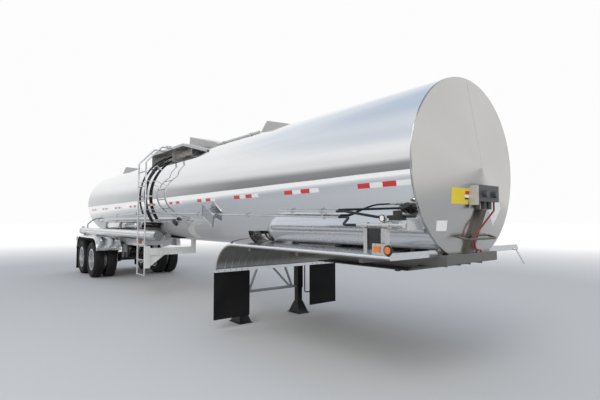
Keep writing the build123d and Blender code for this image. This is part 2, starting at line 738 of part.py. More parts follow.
# Arms that carry the fender deck out from the coupler frame
FENDER_ARMS = (420.0, 1400.0, 2400.0)
FENDER_ARM_HALF = 25.0
FENDER_ARM_DEEP = 80.0
with BuildPart() as fender_arms:
    for at_station in FENDER_ARMS:
        for side in (RIGHT, LEFT):
            slab(
                (station(at_station) - FENDER_ARM_HALF, station(at_station) + FENDER_ARM_HALF),
                (side * (WEB_Y[1] + SEAT_GAP), side * (SHEET_HALF - BEAD_RADIUS - 6)),
                (DECK_Z - SHEET - FENDER_ARM_DEEP, DECK_Z - SHEET - SEAT_GAP),
            )
    clear_of_tank()
save(fender_arms, "fender_arms")

# Mud flaps, a pair behind the front fender and a pair behind the wheels
REAR_FLAP_STATION = REAR_AXLE + 635.0
FLAPS = (
    # x of the front face, bottom, top
    (fender_end_x + FLAP_THICK, 160.0, fender_end_z - FENDER_BAR - SEAT_GAP),
    (station(REAR_FLAP_STATION), 110.0, 800.0),
)
FLAP_INNER_Y = HALF_WIDTH - FLAP_WIDTH
with BuildPart() as mud_flaps:
    for front_x, bottom, top in FLAPS:
        for side in (RIGHT, LEFT):
            slab((front_x - FLAP_THICK, front_x), (side * FLAP_INNER_Y, side * HALF_WIDTH), (bottom, top))
save(mud_flaps, "mud_flaps")

# Landing gear: square outer legs between mount plates, inner legs on flared shoes, braces and crank
leg_x = station(LEG_STATION)
LEG_INNER = 95.0
SHOE = (330.0, 240.0, 12.0)
SHOE_TOP = 200.0
with BuildPart() as landing_legs:
    for side in (RIGHT, LEFT):
        slab(
            (leg_x - LEG_SIDE / 2, leg_x + LEG_SIDE / 2),
            (side * LEG_Y - LEG_SIDE / 2, side * LEG_Y + LEG_SIDE / 2),
            (LEG_BOTTOM, LEG_TOP),
        )
save(landing_legs, "landing_legs")

MOUNT_THICK = 10.0
MOUNT_INNER_Y = 150.0
MOUNT_OUTER_Y = LEG_Y + LEG_SIDE / 2
MOUNT_BOTTOM = LEG_TOP - 205.0
with BuildPart() as leg_mounts:
    for way in (-1, 1):
        for side in (RIGHT, LEFT):
            with BuildSketch(Plane.YZ.offset(leg_x + way * (LEG_SIDE / 2 + SEAT_GAP))):
                with BuildLine():
                    Polyline(
                        (side * MOUNT_INNER_Y, MOUNT_BOTTOM),
                        (side * MOUNT_OUTER_Y, MOUNT_BOTTOM + 60),
                        (side * MOUNT_OUTER_Y, LEG_TOP - 10),
                        (side * MOUNT_INNER_Y, LEG_TOP + 20),
                        close=True,
                    )
                make_face()
            extrude(amount=way * MOUNT_THICK)
    clear_of_tank()
save(leg_mounts, "leg_mounts")

with BuildPart() as landing_feet:
    for side in (RIGHT, LEFT):
        slab(
            (leg_x - LEG_INNER / 2, leg_x + LEG_INNER / 2),
            (side * LEG_Y - LEG_INNER / 2, side * LEG_Y + LEG_INNER / 2),
            (SHOE_TOP - 5, LEG_BOTTOM - SEAT_GAP),
        )
        slab(
            (leg_x - SHOE[0] / 2, leg_x + SHOE[0] / 2),
            (side * LEG_Y - SHOE[1] / 2, side * LEG_Y + SHOE[1] / 2),
            (0, SHOE[2]),
        )
        with BuildSketch(Plane.XY.offset(SHOE[2])):
            with Locations((leg_x, side * LEG_Y)):
                Rectangle(SHOE[0] - 40, SHOE[1] - 30)
        with BuildSketch(Plane.XY.offset(SHOE_TOP)):
            with Locations((leg_x, side * LEG_Y)):
                Rectangle(LEG_INNER + 15, LEG_INNER + 15)
        loft()
save(landing_feet, "landing_feet")

CROSS_TUBE = 24.0
BRACE_RADIUS = 20.0
BRACE_Z = 465.0
LEG_FACE_Y = LEG_Y - LEG_SIDE / 2 - SEAT_GAP
BRACES = (
    # y at the cross tube, top station, top y, top height over the belly
    (440.0, LEG_STATION, 110.0, 61.0),
    (400.0, LEG_STATION + 1120.0, 180.0, 111.0),
)
with BuildPart() as landing_braces:
    bar((leg_x, -LEG_FACE_Y, BRACE_Z), (leg_x, LEG_FACE_Y, BRACE_Z), CROSS_TUBE)
    for low_y, top_station, top_y, rise in BRACES:
        for side in (RIGHT, LEFT):
            top = (station(top_station), side * top_y, TANK_BELLY_Z + rise)
            bar((leg_x, side * low_y, BRACE_Z), top, BRACE_RADIUS)
    clear_of_tank()
save(landing_braces, "landing_braces")

GEARBOX_OUT = 45.0
GEARBOX_Z = (900.0, 1080.0)
SHAFT_AHEAD = 40.0
SHAFT_Z = 950.0
SHAFT_RADIUS = 16.0
CRANK_RADIUS = 11.0
CRANK_LOW_Z = 330.0
LEG_OUT_Y = LEG_Y + LEG_SIDE / 2 + SEAT_GAP
CRANK_Y = LEG_OUT_Y + GEARBOX_OUT
shaft_x = leg_x + SHAFT_AHEAD
with BuildPart() as landing_crank:
    slab((leg_x - 50, leg_x + 50), (LEG_OUT_Y, CRANK_Y), GEARBOX_Z)
    bent_rod(
        (
            (leg_x, CRANK_Y - 5, SHAFT_Z),
            (leg_x, CRANK_Y + 45, SHAFT_Z),
            (leg_x, CRANK_Y + 45, CRANK_LOW_Z),
            (leg_x, CRANK_Y + 165, CRANK_LOW_Z),
        ),
        CRANK_RADIUS,
        30,
    )
    bar((shaft_x, -LEG_FACE_Y, SHAFT_Z), (shaft_x, LEG_FACE_Y, SHAFT_Z), SHAFT_RADIUS)
save(landing_crank, "landing_crank")

# Front brackets: the lamp plate on the fender's curb corner, the valve stand, the shelf near the head
LAMP_PLATE_Y = (-SHEET_HALF - 3.0, -SHEET_HALF + 3.0)
LAMP_PLATE_TOP = 1402.0
STAND_WIDE = 66.0
STAND_LEG = 46.0
STAND_STATIONS = (160.0, 420.0)
SHELF_Z = TANK_BELLY_Z + 423.0
SHELF_DEEP = 92.0
SHELF_STATIONS = (40.0, 340.0)
PLATE = 6.0
SHELF_OUT_Y = -TANK_RADIUS - 20.0
shelf_in_y = -tank_side(SHELF_Z) + 100
with BuildPart() as front_brackets:
    slab(
        (station(250), station(FENDER_FRONT + SHEET + 1)),
        LAMP_PLATE_Y,
        (DECK_Z + BEAD_PROUD + SEAT_GAP, LAMP_PLATE_TOP),
    )
    stand_back = (-STAND_Y + STAND_WIDE - PLATE, -STAND_Y + STAND_WIDE)
    slab((station(STAND_STATIONS[1]), station(STAND_STATIONS[0])), stand_back, (DECK_Z, STAND_TOP))
    for near, far in ((0, STAND_LEG), (1, -STAND_LEG)):
        edge = STAND_STATIONS[near]
        slab((station(edge), station(edge + far)), (-STAND_Y, stand_back[0] + 1), (DECK_Z, STAND_TOP))
    slab(
        (station(SHELF_STATIONS[1]), station(SHELF_STATIONS[0])),
        (SHELF_OUT_Y, shelf_in_y),
        (SHELF_Z - PLATE, SHELF_Z),
    )
    for edge in (SHELF_STATIONS[0], SHELF_STATIONS[1] - PLATE):
        slab(
            (station(edge + PLATE), station(edge)),
            (SHELF_OUT_Y + 25, shelf_in_y),
            (SHELF_Z - SHELF_DEEP, SHELF_Z - PLATE / 2),
        )
    clear_of_tank()
save(front_brackets, "front_brackets")

# Amber lamps: the round one on the lamp plate and the side markers under the hose tubes' first cradles
LAMP_RADIUS = 46.0
LENS_RADIUS = 33.0
LAMP_STATION = 62.0
LAMP_Z = DECK_Z + BEAD_PROUD + LAMP_RADIUS + 1.0
CRADLES = (RAIL_FRONT - 1250.0, RAIL_FRONT + 650.0, AXLE_STATIONS[0] + 130.0, TUBE_REAR - 360.0)
CRADLE_HALF = 30.0
MARKER_Z = (TUBE_Z - 195.0, TUBE_Z - 150.0)
marker_x = station(CRADLES[0]) + CRADLE_HALF + PLATE
with BuildPart() as amber_lamps:
    lamp_face = LAMP_PLATE_Y[0] - SEAT_GAP
    lamp_x = station(LAMP_STATION)
    bar((lamp_x, lamp_face, LAMP_Z), (lamp_x, lamp_face - 8, LAMP_Z), LAMP_RADIUS)
    bar((lamp_x, lamp_face - 7, LAMP_Z), (lamp_x, lamp_face - 17, LAMP_Z), LENS_RADIUS)
    for side in (RIGHT, LEFT):
        slab((marker_x + SEAT_GAP, marker_x + 26), (side * (TUBE_Y - 40), side * (TUBE_Y + 40)), MARKER_Z)
save(amber_lamps, "amber_lamps")

# Air valves at the front: the fittings on the stand, a gauge, the black boxes, the one on the long pipe
FITTINGS = (
    # front station, rear station, radius
    (-28.0, 8.0, 24.0),
    (8.0, 120.0, 17.0),
    (120.0, 200.0, FITTING_RADIUS),
    (200.0, 380.0, 19.0),
    (380.0, 460.0, FITTING_RADIUS),
    (460.0, FITTING_HOSE[0], 17.0),
)
GAUGE_STATION = 200.0
GAUGE_RADIUS = 32.0
GAUGE_RISE = 65.0
fitting_y = -STAND_Y + 30
with BuildPart() as front_valves:
    for front, rear, radius in FITTINGS:
        bar((station(front), fitting_y, FITTING_Z), (station(rear), fitting_y, FITTING_Z), radius)
    gauge_x = station(GAUGE_STATION)
    gauge_z = FITTING_Z + GAUGE_RISE
    bar((gauge_x, fitting_y, FITTING_Z), (gauge_x, fitting_y, gauge_z - 20), 9)
    bar((gauge_x, fitting_y - 20, gauge_z), (gauge_x, fitting_y + 16, gauge_z), GAUGE_RADIUS)
save(front_valves, "front_valves")

VALVE_STATION = 170.0
VALVE_RADIUS = 44.0
VALVE_HIGH = 90.0
LINE_VALVE = (MANWAY_STATION - 1300.0, LOWER_ANGLE)
LINE_VALVE_RADIUS = 70.0
valve_y = SHELF_HOSE[1] + 5
shelf_top = SHELF_Z + SEAT_GAP
with BuildPart() as valve_bodies:
    slab(
        (station(STAND_STATIONS[1] - STAND_LEG - 2), station(STAND_STATIONS[0] + STAND_LEG + 2)),
        (-STAND_Y + 12, stand_back[0] - SEAT_GAP),
        (DECK_Z + 40, STAND_TOP),
    )
    with Locations((station(VALVE_STATION), valve_y, shelf_top + VALVE_HIGH / 2)):
        Cylinder(VALVE_RADIUS, VALVE_HIGH)
    slab((station(SHELF_HOSE[0]), station(90)), (valve_y - 35, valve_y + 25), (shelf_top, shelf_top + 48))
    bar((station(-30), valve_y, shelf_top + 38), (station(VALVE_STATION), valve_y, shelf_top + 38), 16)
    with BuildSketch(tank_plane(*LINE_VALVE, lift=PIPE_LIFT + PIPE_RADIUS + 0.4)):
        Circle(LINE_VALVE_RADIUS)
    extrude(amount=40)
save(valve_bodies, "valve_bodies")

# Connection box on the front head: box, side plate, couplings under it and two sockets on its face
BOX_Y = (-160.0, 230.0)
BOX_Z = (1800.0, 1965.0)
BOX_FRONT = 225.0
BOX_BACK = 40.0
SIDE_PLATE_LOW = 38.0
COUPLINGS = (-100.0, 20.0, 125.0)
COUPLING_RADIUS = 26.0
COUPLING_LONG = 75.0
SOCKETS = (-60.0, 125.0)
SOCKET_RADIUS = 34.0
SOCKET_Z = 1875.0
with BuildPart() as connection_box:
    slab((X_HEAD + BOX_BACK, X_HEAD + BOX_FRONT), BOX_Y, BOX_Z)
    slab(
        (X_HEAD + BOX_BACK, X_HEAD + BOX_FRONT),
        (BOX_Y[0] - PLATE, BOX_Y[0] + 1),
        (BOX_Z[0] - SIDE_PLATE_LOW, BOX_Z[1]),
    )
    for y in COUPLINGS:
        bar((X_HEAD + 170, y, BOX_Z[0] - COUPLING_LONG), (X_HEAD + 170, y, BOX_Z[0] + 1), COUPLING_RADIUS)
    for y in SOCKETS:
        bar((X_HEAD + BOX_FRONT - 5, y, SOCKET_Z), (X_HEAD + FRONT_REACH, y, SOCKET_Z), SOCKET_RADIUS)
    head_solid(X_HEAD, 1, grow=SEAT_GAP, mode=Mode.SUBTRACT)
save(connection_box, "connection_box")

# Hose channel slanting down the head, and the hoop of rod that the hoses pass through
CHANNEL_DEEP = 44.0
CHANNEL_Z = (1285.0, 1724.0)
CHANNEL_TOP_Y = (20.0, 120.0)
CHANNEL_LOW_Y = (-125.0, -35.0)
HOOP_Z = (1427.0, 1457.0)
HOOP_HALF = 306.0
HOOP_REACH = 165.0
HOOP_BACK = 73.0
HOOP_RADIUS = 11.0
with BuildPart() as hose_channel:
    with BuildSketch(Plane.XZ):
        with BuildLine():
            Polyline(
                (head_x(0, CHANNEL_Z[1]) - 30, CHANNEL_Z[1]),
                (head_x(0, CHANNEL_Z[1]) + CHANNEL_DEEP, CHANNEL_Z[1]),
                (head_x(0, CHANNEL_Z[0]) + CHANNEL_DEEP, CHANNEL_Z[0]),
                (head_x(0, CHANNEL_Z[0]) - 30, CHANNEL_Z[0]),
                close=True,
            )
        make_face()
    extrude(amount=HOOP_HALF, both=True)
    with BuildSketch(Plane.YZ.offset(X_HEAD)):
        with BuildLine():
            Polyline(
                (CHANNEL_TOP_Y[0], CHANNEL_Z[1]),
                (CHANNEL_TOP_Y[1], CHANNEL_Z[1]),
                (CHANNEL_LOW_Y[1], CHANNEL_Z[0]),
                (CHANNEL_LOW_Y[0], CHANNEL_Z[0]),
                close=True,
            )
        make_face()
    extrude(amount=FRONT_REACH, mode=Mode.INTERSECT)
    bent_rod(
        (
            (X_HEAD + 40, -HOOP_HALF, HOOP_Z[1]),
            (X_HEAD + HOOP_REACH, -HOOP_HALF, HOOP_Z[0]),
            (X_HEAD + HOOP_REACH, HOOP_HALF, HOOP_Z[0]),
            (X_HEAD + 40, HOOP_HALF, HOOP_Z[1]),
        ),
        HOOP_RADIUS,
        70,
    )
    back_x = X_HEAD + HOOP_BACK
    bar((back_x, -HOOP_HALF, HOOP_Z[1]), (back_x, HOOP_HALF, HOOP_Z[1]), HOOP_RADIUS - 2)
    head_solid(X_HEAD, 1, grow=SEAT_GAP, mode=Mode.SUBTRACT)
save(hose_channel, "hose_channel")

# Red air line from the connection box down through the hoop and along the top of the bolster
AIR_LINE_RADIUS = 9.0
LINE_REST_Z = BOLSTER_Z[1] + 24.0
with BuildPart() as air_line:
    bent_rod(
        (
            (X_HEAD + 190, 190, BOX_Z[0] - SEAT_GAP),
            (X_HEAD + 190, 190, 1715),
            (X_HEAD + 160, -40, 1530),
            (X_HEAD + 120, -100, 1425),
            (X_HEAD + 106, -40, LINE_REST_Z + 30),
            (X_HEAD + 98, 20, LINE_REST_Z + 8),
            (X_HEAD + BOLSTER_NOSE - 8, 80, LINE_REST_Z),
            (X_HEAD + BOLSTER_NOSE - 8, 160, LINE_REST_Z),
            (X_HEAD + BOLSTER_NOSE - 8, 160, BOLSTER_Z[1] + SEAT_GAP),
        ),
        AIR_LINE_RADIUS,
        12,
    )
save(air_line, "air_line")

# Hose spring: a stiff coil that leans forward from the fender's far front corner
SPRING_ROD = 8.0
SPRING_EYE_Y = HALF_WIDTH - 85.0
with BuildPart() as hose_spring:
    bar(
        (station(FENDER_FRONT) + 14, SPRING_EYE_Y, FENDER_EDGE_Z[0] + 8),
        (X_HEAD + 80, SPRING_EYE_Y - 20, FENDER_EDGE_Z[0] - 158),
        SPRING_ROD,
    )
    bar(
        (station(FENDER_FRONT) + SEAT_GAP, SPRING_EYE_Y, FENDER_EDGE_Z[0] + 12),
        (station(FENDER_FRONT) + 24, SPRING_EYE_Y, FENDER_EDGE_Z[0] + 12),
        SPRING_ROD + 4,
    )
save(hose_spring, "hose_spring")

# Rear frame: two box rails, and saddles that join them under the tank
SADDLES = (RAIL_FRONT + 200.0, RAIL_FRONT + 1100.0, REAR_AXLE - AXLE_SPREAD / 2, REAR_AXLE + 255.0)
SADDLE_HALF = REAR_FENDER_INNER - 8.2
SADDLE_TOP = TANK_BELLY_Z + 231.0
with BuildPart() as frame_rails:
    for side in (RIGHT, LEFT):
        slab(
            (station(RAIL_REAR), station(RAIL_FRONT)),
            (side * (RAIL_Y - RAIL_WIDTH / 2), side * (RAIL_Y + RAIL_WIDTH / 2)),
            (RAIL_BOTTOM, RAIL_TOP),
        )
save(frame_rails, "frame_rails")

RAIL_INSIDE = RAIL_Y - RAIL_WIDTH / 2
with BuildPart() as frame_saddles:
    for at_station in SADDLES:
        x = station(at_station)
        slab((x - 60, x + 60), (-SADDLE_HALF, SADDLE_HALF), (RAIL_TOP, SADDLE_TOP))
        slab((x - 40, x + 40), (-RAIL_INSIDE, RAIL_INSIDE), (RAIL_BOTTOM + 20, RAIL_TOP + 1))
    clear_of_tank()
save(frame_saddles, "frame_saddles")

# Suspension at each axle end: hanger with its pin, trailing arm, air spring
HANGER_GAP = 1.0
HANGER_PLATE = 10.0
ARM_HALF = RAIL_WIDTH / 2
HANGER_LOW = ARM_PIVOT_Z - 60.0
PIN_HALF = ARM_HALF + HANGER_GAP + HANGER_PLATE + 14.0
with BuildPart() as hangers:
    for axle in AXLE_STATIONS:
        pivot_x = station(axle - ARM_PIVOT_AHEAD)
        for side in (RIGHT, LEFT):
            mid = side * RAIL_Y
            for way in (-1, 1):
                near = mid + way * (ARM_HALF + HANGER_GAP)
                plate_y = (near, near + way * HANGER_PLATE)
                slab((pivot_x - 60, pivot_x + 70), plate_y, (HANGER_LOW, RAIL_BOTTOM))
            web_y = (mid - ARM_HALF - 5, mid + ARM_HALF + 5)
            slab((pivot_x + 60, pivot_x + 70), web_y, (ARM_PIVOT_Z + 80, RAIL_BOTTOM))
            pin_ends = (pivot_x, mid - PIN_HALF, ARM_PIVOT_Z), (pivot_x, mid + PIN_HALF, ARM_PIVOT_Z)
            bar(*pin_ends, PIVOT_PIN_RADIUS)
save(hangers, "hangers")

with BuildPart() as trailing_arms:
    for axle in AXLE_STATIONS:
        for side in (RIGHT, LEFT):
            pivot_x = station(axle - ARM_PIVOT_AHEAD)
            spring_x = station(axle + SPRING_BEHIND)
            with BuildSketch(Plane.XZ.offset(-side * RAIL_Y)):
                with BuildLine():
                    Polyline(
                        (pivot_x + 50, ARM_PIVOT_Z - 42),
                        (pivot_x + 50, ARM_PIVOT_Z + 42),
                        (station(axle), AXLE_Z + 105),
                        (spring_x + 60, SPRING_SEAT_Z),
                        (spring_x - 70, SPRING_SEAT_Z),
                        (spring_x - 70, SPRING_SEAT_Z - 50),
                        (station(axle), AXLE_Z - 95),
                        close=True,
                    )
                make_face()
            extrude(amount=ARM_HALF, both=True)
            pin_y = (side * RAIL_Y - PIN_HALF, side * RAIL_Y + PIN_HALF)
            bar(
                (pivot_x, pin_y[0], ARM_PIVOT_Z),
                (pivot_x, pin_y[1], ARM_PIVOT_Z),
                PIVOT_PIN_RADIUS + SEAT_GAP,
                mode=Mode.SUBTRACT,
            )
        bar(
            (station(axle), -RAIL_Y - RAIL_WIDTH, AXLE_Z),
            (station(axle), RAIL_Y + RAIL_WIDTH, AXLE_Z),
            AXLE_RADIUS + SEAT_GAP,
            mode=Mode.SUBTRACT,
        )
save(trailing_arms, "trailing_arms")

SPRING_NECK = 92.0
SPRING_PISTON = 70.0
with BuildPart() as air_springs:
    for axle in AXLE_STATIONS:
        for side in (RIGHT, LEFT):
            spring_x = station(axle + SPRING_BEHIND)
            low = SPRING_SEAT_Z + SEAT_GAP
            high = RAIL_BOTTOM - SEAT_GAP
            neck_x = spring_x + SPRING_NECK
            piston_x = spring_x + SPRING_PISTON
            bag = (low + 90, high - 20)
            with BuildSketch(Plane.XZ.offset(-side * RAIL_Y)) as half:
                with BuildLine():
                    Polyline((spring_x, low), (piston_x, low), (piston_x, low + 60), (neck_x, bag[0]))
                    ThreePointArc(
                        (neck_x, bag[0]),
                        (spring_x + SPRING_RADIUS, (bag[0] + bag[1]) / 2),
                        (neck_x, bag[1]),
                    )
                    Polyline((neck_x, bag[1]), (neck_x, high), (spring_x, high), (spring_x, low))
                make_face()
            revolve(axis=Axis((spring_x, side * RAIL_Y, 0), (0, 0, 1)))
save(air_springs, "air_springs")

# Axles with their spindles and brake chambers
AXLE_HALF = INNER_TYRE_Y - 127.0
SPINDLE_HALF = OUTER_TYRE_Y
CHAMBER_Y = RAIL_Y - 165.0
CHAMBER_RADIUS = 80.0
CHAMBER_Z = AXLE_Z + 150.0
with BuildPart() as axles:
    for axle in AXLE_STATIONS:
        x = station(axle)
        bar((x, -AXLE_HALF, AXLE_Z), (x, AXLE_HALF, AXLE_Z), AXLE_RADIUS)
        bar((x, -SPINDLE_HALF, AXLE_Z), (x, SPINDLE_HALF, AXLE_Z), SPINDLE_RADIUS)
        for side in (RIGHT, LEFT):
            mid = side * CHAMBER_Y
            slab((x - 20, x + 150), (mid - 20, mid + 20), (AXLE_Z, CHAMBER_Z - 30))
            bar((x + 60, mid, CHAMBER_Z), (x + 235, mid, CHAMBER_Z), CHAMBER_RADIUS)
save(axles, "axles")

# Wheels: two rims back to back with hub and drum as one body, and two tyres on them
RIM_HALF = 117.0
RIM_ROOT = 270.0
RIM_FLANGE = 19.0
DISC_MID = (OUTER_TYRE_Y + INNER_TYRE_Y) / 2
HUB_RADIUS = 112.0
HAND_HOLES = 10
HAND_HOLE_RADIUS = 28.0
HAND_HOLE_CIRCLE = 192.0
BEAD_HALF = 104.0
TREAD_HALF = 112.0
TREAD_DROP = 14.0
SIDES = (("right", RIGHT), ("left", LEFT))
ENDS = (("front", AXLE_STATIONS[0]), ("rear", AXLE_STATIONS[1]))
RIM_RINGS = (
    # inner radius, outer radius, inboard y, outboard y
    (RIM_ROOT, RIM_SEAT_RADIUS, OUTER_TYRE_Y - RIM_HALF, OUTER_TYRE_Y + RIM_HALF),
    (RIM_ROOT, RIM_SEAT_RADIUS, INNER_TYRE_Y - RIM_HALF, INNER_TYRE_Y + RIM_HALF),
    (RIM_ROOT, RIM_SEAT_RADIUS + RIM_FLANGE, OUTER_TYRE_Y + RIM_HALF - 9, OUTER_TYRE_Y + RIM_HALF),
    (RIM_ROOT, RIM_SEAT_RADIUS + RIM_FLANGE, OUTER_TYRE_Y - RIM_HALF, OUTER_TYRE_Y - RIM_HALF + 9),
    (RIM_ROOT, RIM_SEAT_RADIUS + RIM_FLANGE, INNER_TYRE_Y + RIM_HALF - 9, INNER_TYRE_Y + RIM_HALF),
    (RIM_ROOT, RIM_SEAT_RADIUS + RIM_FLANGE, INNER_TYRE_Y - RIM_HALF, INNER_TYRE_Y - RIM_HALF + 9),
    (256.0, RIM_ROOT + 1, INNER_TYRE_Y + RIM_HALF - 20, OUTER_TYRE_Y - RIM_HALF + 20),
    (SPINDLE_RADIUS + SEAT_GAP, 257.0, DISC_MID - 14, DISC_MID + 14),
    (SPINDLE_RADIUS + SEAT_GAP, HUB_RADIUS, DISC_MID - 180, DISC_MID + 175),
    (0.0, 82.0, DISC_MID + 174, DISC_MID + 225),
    (190.0, 222.0, INNER_TYRE_Y - 206, DISC_MID - 13),
)


def wheel_ring(axle, side, rings):
    """Rings of rectangular section revolved about an axle end, in the part being built."""
    with BuildSketch(Plane.YZ.offset(station(axle))) as section:
        for inner, outer, inboard, outboard in rings:
            with Locations((side * (inboard + outboard) / 2, AXLE_Z + (inner + outer) / 2)):
                Rectangle(outboard - inboard, outer - inner)
    revolve(section.sketch, axis=Axis((station(axle), 0, AXLE_Z), (0, 1, 0)))


for end_name, axle in ENDS:
    for side_name, side in SIDES:
        with BuildPart() as wheel:
            wheel_ring(axle, side, RIM_RINGS)
            with Locations(Plane(origin=(station(axle), side * DISC_MID, AXLE_Z), z_dir=(0, 1, 0))):
                with PolarLocations(HAND_HOLE_CIRCLE, HAND_HOLES):
                    Cylinder(HAND_HOLE_RADIUS, 80, mode=Mode.SUBTRACT)
        save(wheel, f"wheel_{end_name}_{side_name}")

        with BuildPart() as tyres:
            for tyre_y in (OUTER_TYRE_Y, INNER_TYRE_Y):
                with BuildSketch(Plane.YZ.offset(station(axle))) as section:
                    with BuildLine():
                        mid = side * tyre_y
                        bead_r = AXLE_Z + RIM_SEAT_RADIUS + SEAT_GAP
                        wall_r = AXLE_Z + 0.76 * TYRE_RADIUS
                        shoulder = AXLE_Z + TYRE_RADIUS - TREAD_DROP
                        toe = bead_r + RIM_FLANGE + 2
                        low, high, half = BEAD_HALF, TREAD_HALF, TYRE_WIDTH / 2
                        Polyline((mid - low, toe), (mid - low, bead_r), (mid + low, bead_r), (mid + low, toe))
                        ThreePointArc((mid + low, toe), (mid + half, wall_r), (mid + high, shoulder))
                        ThreePointArc(
                            (mid + high, shoulder), (mid, AXLE_Z + TYRE_RADIUS), (mid - high, shoulder)
                        )
                        ThreePointArc((mid - high, shoulder), (mid - half, wall_r), (mid - low, toe))
                    make_face()
                revolve(axis=Axis((station(axle), 0, AXLE_Z), (0, 1, 0)))
        save(tyres, f"tyres_{end_name}_{side_name}")

# Rear fenders: a sheet round both tyres of each side, and the arms that hold it to the rails
REAR_FENDER_TOP = 2 * TYRE_RADIUS + 150.0
REAR_FENDER_R = 430.0
REAR_FENDER_PAST = 695.0
REAR_FENDER_ENDS = (AXLE_STATIONS[0] - REAR_FENDER_PAST, REAR_AXLE + REAR_FENDER_PAST)
REAR_FENDER_LIP = 40.0
REAR_FENDER_SWEEP = 82.0
front_turn_x = station(REAR_FENDER_ENDS[0] + REAR_FENDER_R * math.sin(math.radians(REAR_FENDER_SWEEP)))
rear_turn_x = station(REAR_FENDER_ENDS[1] - REAR_FENDER_R * math.sin(math.radians(REAR_FENDER_SWEEP)))
rear_turn_z = REAR_FENDER_TOP - REAR_FENDER_R


def rear_fender_strip(plane, depth):
    """The rear fender's side view as a strip of the given depth below its outer line."""
    with BuildSketch(plane) as strip:
        with BuildLine():
            low = 90 - REAR_FENDER_SWEEP
            inside_r = REAR_FENDER_R - depth
            front_outer = CenterArc((front_turn_x, rear_turn_z), REAR_FENDER_R, low, REAR_FENDER_SWEEP)
            front_inner = CenterArc((front_turn_x, rear_turn_z), inside_r, low, REAR_FENDER_SWEEP)
            rear_outer = CenterArc((rear_turn_x, rear_turn_z), REAR_FENDER_R, 90, REAR_FENDER_SWEEP)
            rear_inner = CenterArc((rear_turn_x, rear_turn_z), inside_r, 90, REAR_FENDER_SWEEP)
            Line(front_outer @ 1, rear_outer @ 0)
            Line(front_inner @ 1, rear_inner @ 0)
            Line(front_outer @ 0, front_inner @ 0)
            Line(rear_outer @ 1, rear_inner @ 1)
        make_face()
    return strip.sketch


with BuildPart() as rear_fenders:
    for side in (RIGHT, LEFT):
        outside = Plane.XZ.offset(-side * HALF_WIDTH)
        extrude(rear_fender_strip(outside, SHEET), amount=side * (HALF_WIDTH - REAR_FENDER_INNER))
        extrude(rear_fender_strip(outside, REAR_FENDER_LIP), amount=side * SHEET)
save(rear_fenders, "rear_fenders")

RAIL_OUTSIDE = RAIL_Y + RAIL_WIDTH / 2
FENDER_ARM_STATIONS = (AXLE_STATIONS[0] - 120.0, AXLE_STATIONS[0] + 780.0, REAR_AXLE + 115.0)
REAR_ARM_HALF = 22.0
REAR_ARM_Z = (1090.0, 1125.0)
REAR_ARM_PADS = (
    (REAR_FENDER_INNER + 32.0, REAR_FENDER_INNER + 92.0),
    (HALF_WIDTH - 90.0, HALF_WIDTH - 40.0),
)
FLAP_BAR = 42.0
FLAP_BAR_Z = (740.0, 790.0)
with BuildPart() as rear_fender_arms:
    for side in (RIGHT, LEFT):
        inside_y = side * (RAIL_OUTSIDE + SEAT_GAP)
        for at_station in FENDER_ARM_STATIONS:
            xs = (station(at_station) - REAR_ARM_HALF, station(at_station) + REAR_ARM_HALF)
            slab(xs, (inside_y, side * REAR_ARM_PADS[1][1]), REAR_ARM_Z)
            for near, far in REAR_ARM_PADS:
                pad_z = (REAR_ARM_Z[1] - 1, REAR_FENDER_TOP - SHEET - SEAT_GAP)
                slab(xs, (side * near, side * far), pad_z)
        flap_back = station(REAR_FLAP_STATION) - FLAP_THICK
        slab((flap_back - FLAP_BAR, flap_back - SEAT_GAP), (inside_y, side * HALF_WIDTH), FLAP_BAR_Z)
        slab(
            (flap_back - FLAP_BAR, flap_back - 12),
            (inside_y, side * (RAIL_OUTSIDE + 40)),
            (FLAP_BAR_Z[1] - 5, RAIL_TOP - 30),
        )
save(rear_fender_arms, "rear_fender_arms")

# Underride bumper on two uprights, and the lamp boards with red tail lamps
BUMPER_Z = (450.0, 560.0)
BUMPER_STATION = TANK_LENGTH + REAR_REACH
BUMPER_HALF = HALF_WIDTH - 79.0
UPRIGHT_HALF = 35.0
LAMP_BOARD_Y = HALF_WIDTH - 29.0
LAMP_BOARD_Z = (985.0, 1115.0)
with BuildPart() as bumper:
    slab((station(BUMPER_STATION), station(BUMPER_STATION - 100)), (-BUMPER_HALF, BUMPER_HALF), BUMPER_Z)
    for side in (RIGHT, LEFT):
        upright_y = (side * (RAIL_Y - UPRIGHT_HALF), side * (RAIL_Y + UPRIGHT_HALF))
        upright_x = (station(BUMPER_STATION - 10), station(BUMPER_STATION - 90))
        stub_x = (station(BUMPER_STATION - 89), station(RAIL_REAR + SEAT_GAP))
        slab(upright_x, upright_y, (BUMPER_Z[1] - 1, RAIL_TOP))
        slab(stub_x, upright_y, (RAIL_BOTTOM, RAIL_TOP))
        board_y = (side * (RAIL_Y + UPRIGHT_HALF - 1), side * LAMP_BOARD_Y)
        slab((station(BUMPER_STATION - 30), station(BUMPER_STATION - 40)), board_y, LAMP_BOARD_Z)
save(bumper, "bumper")

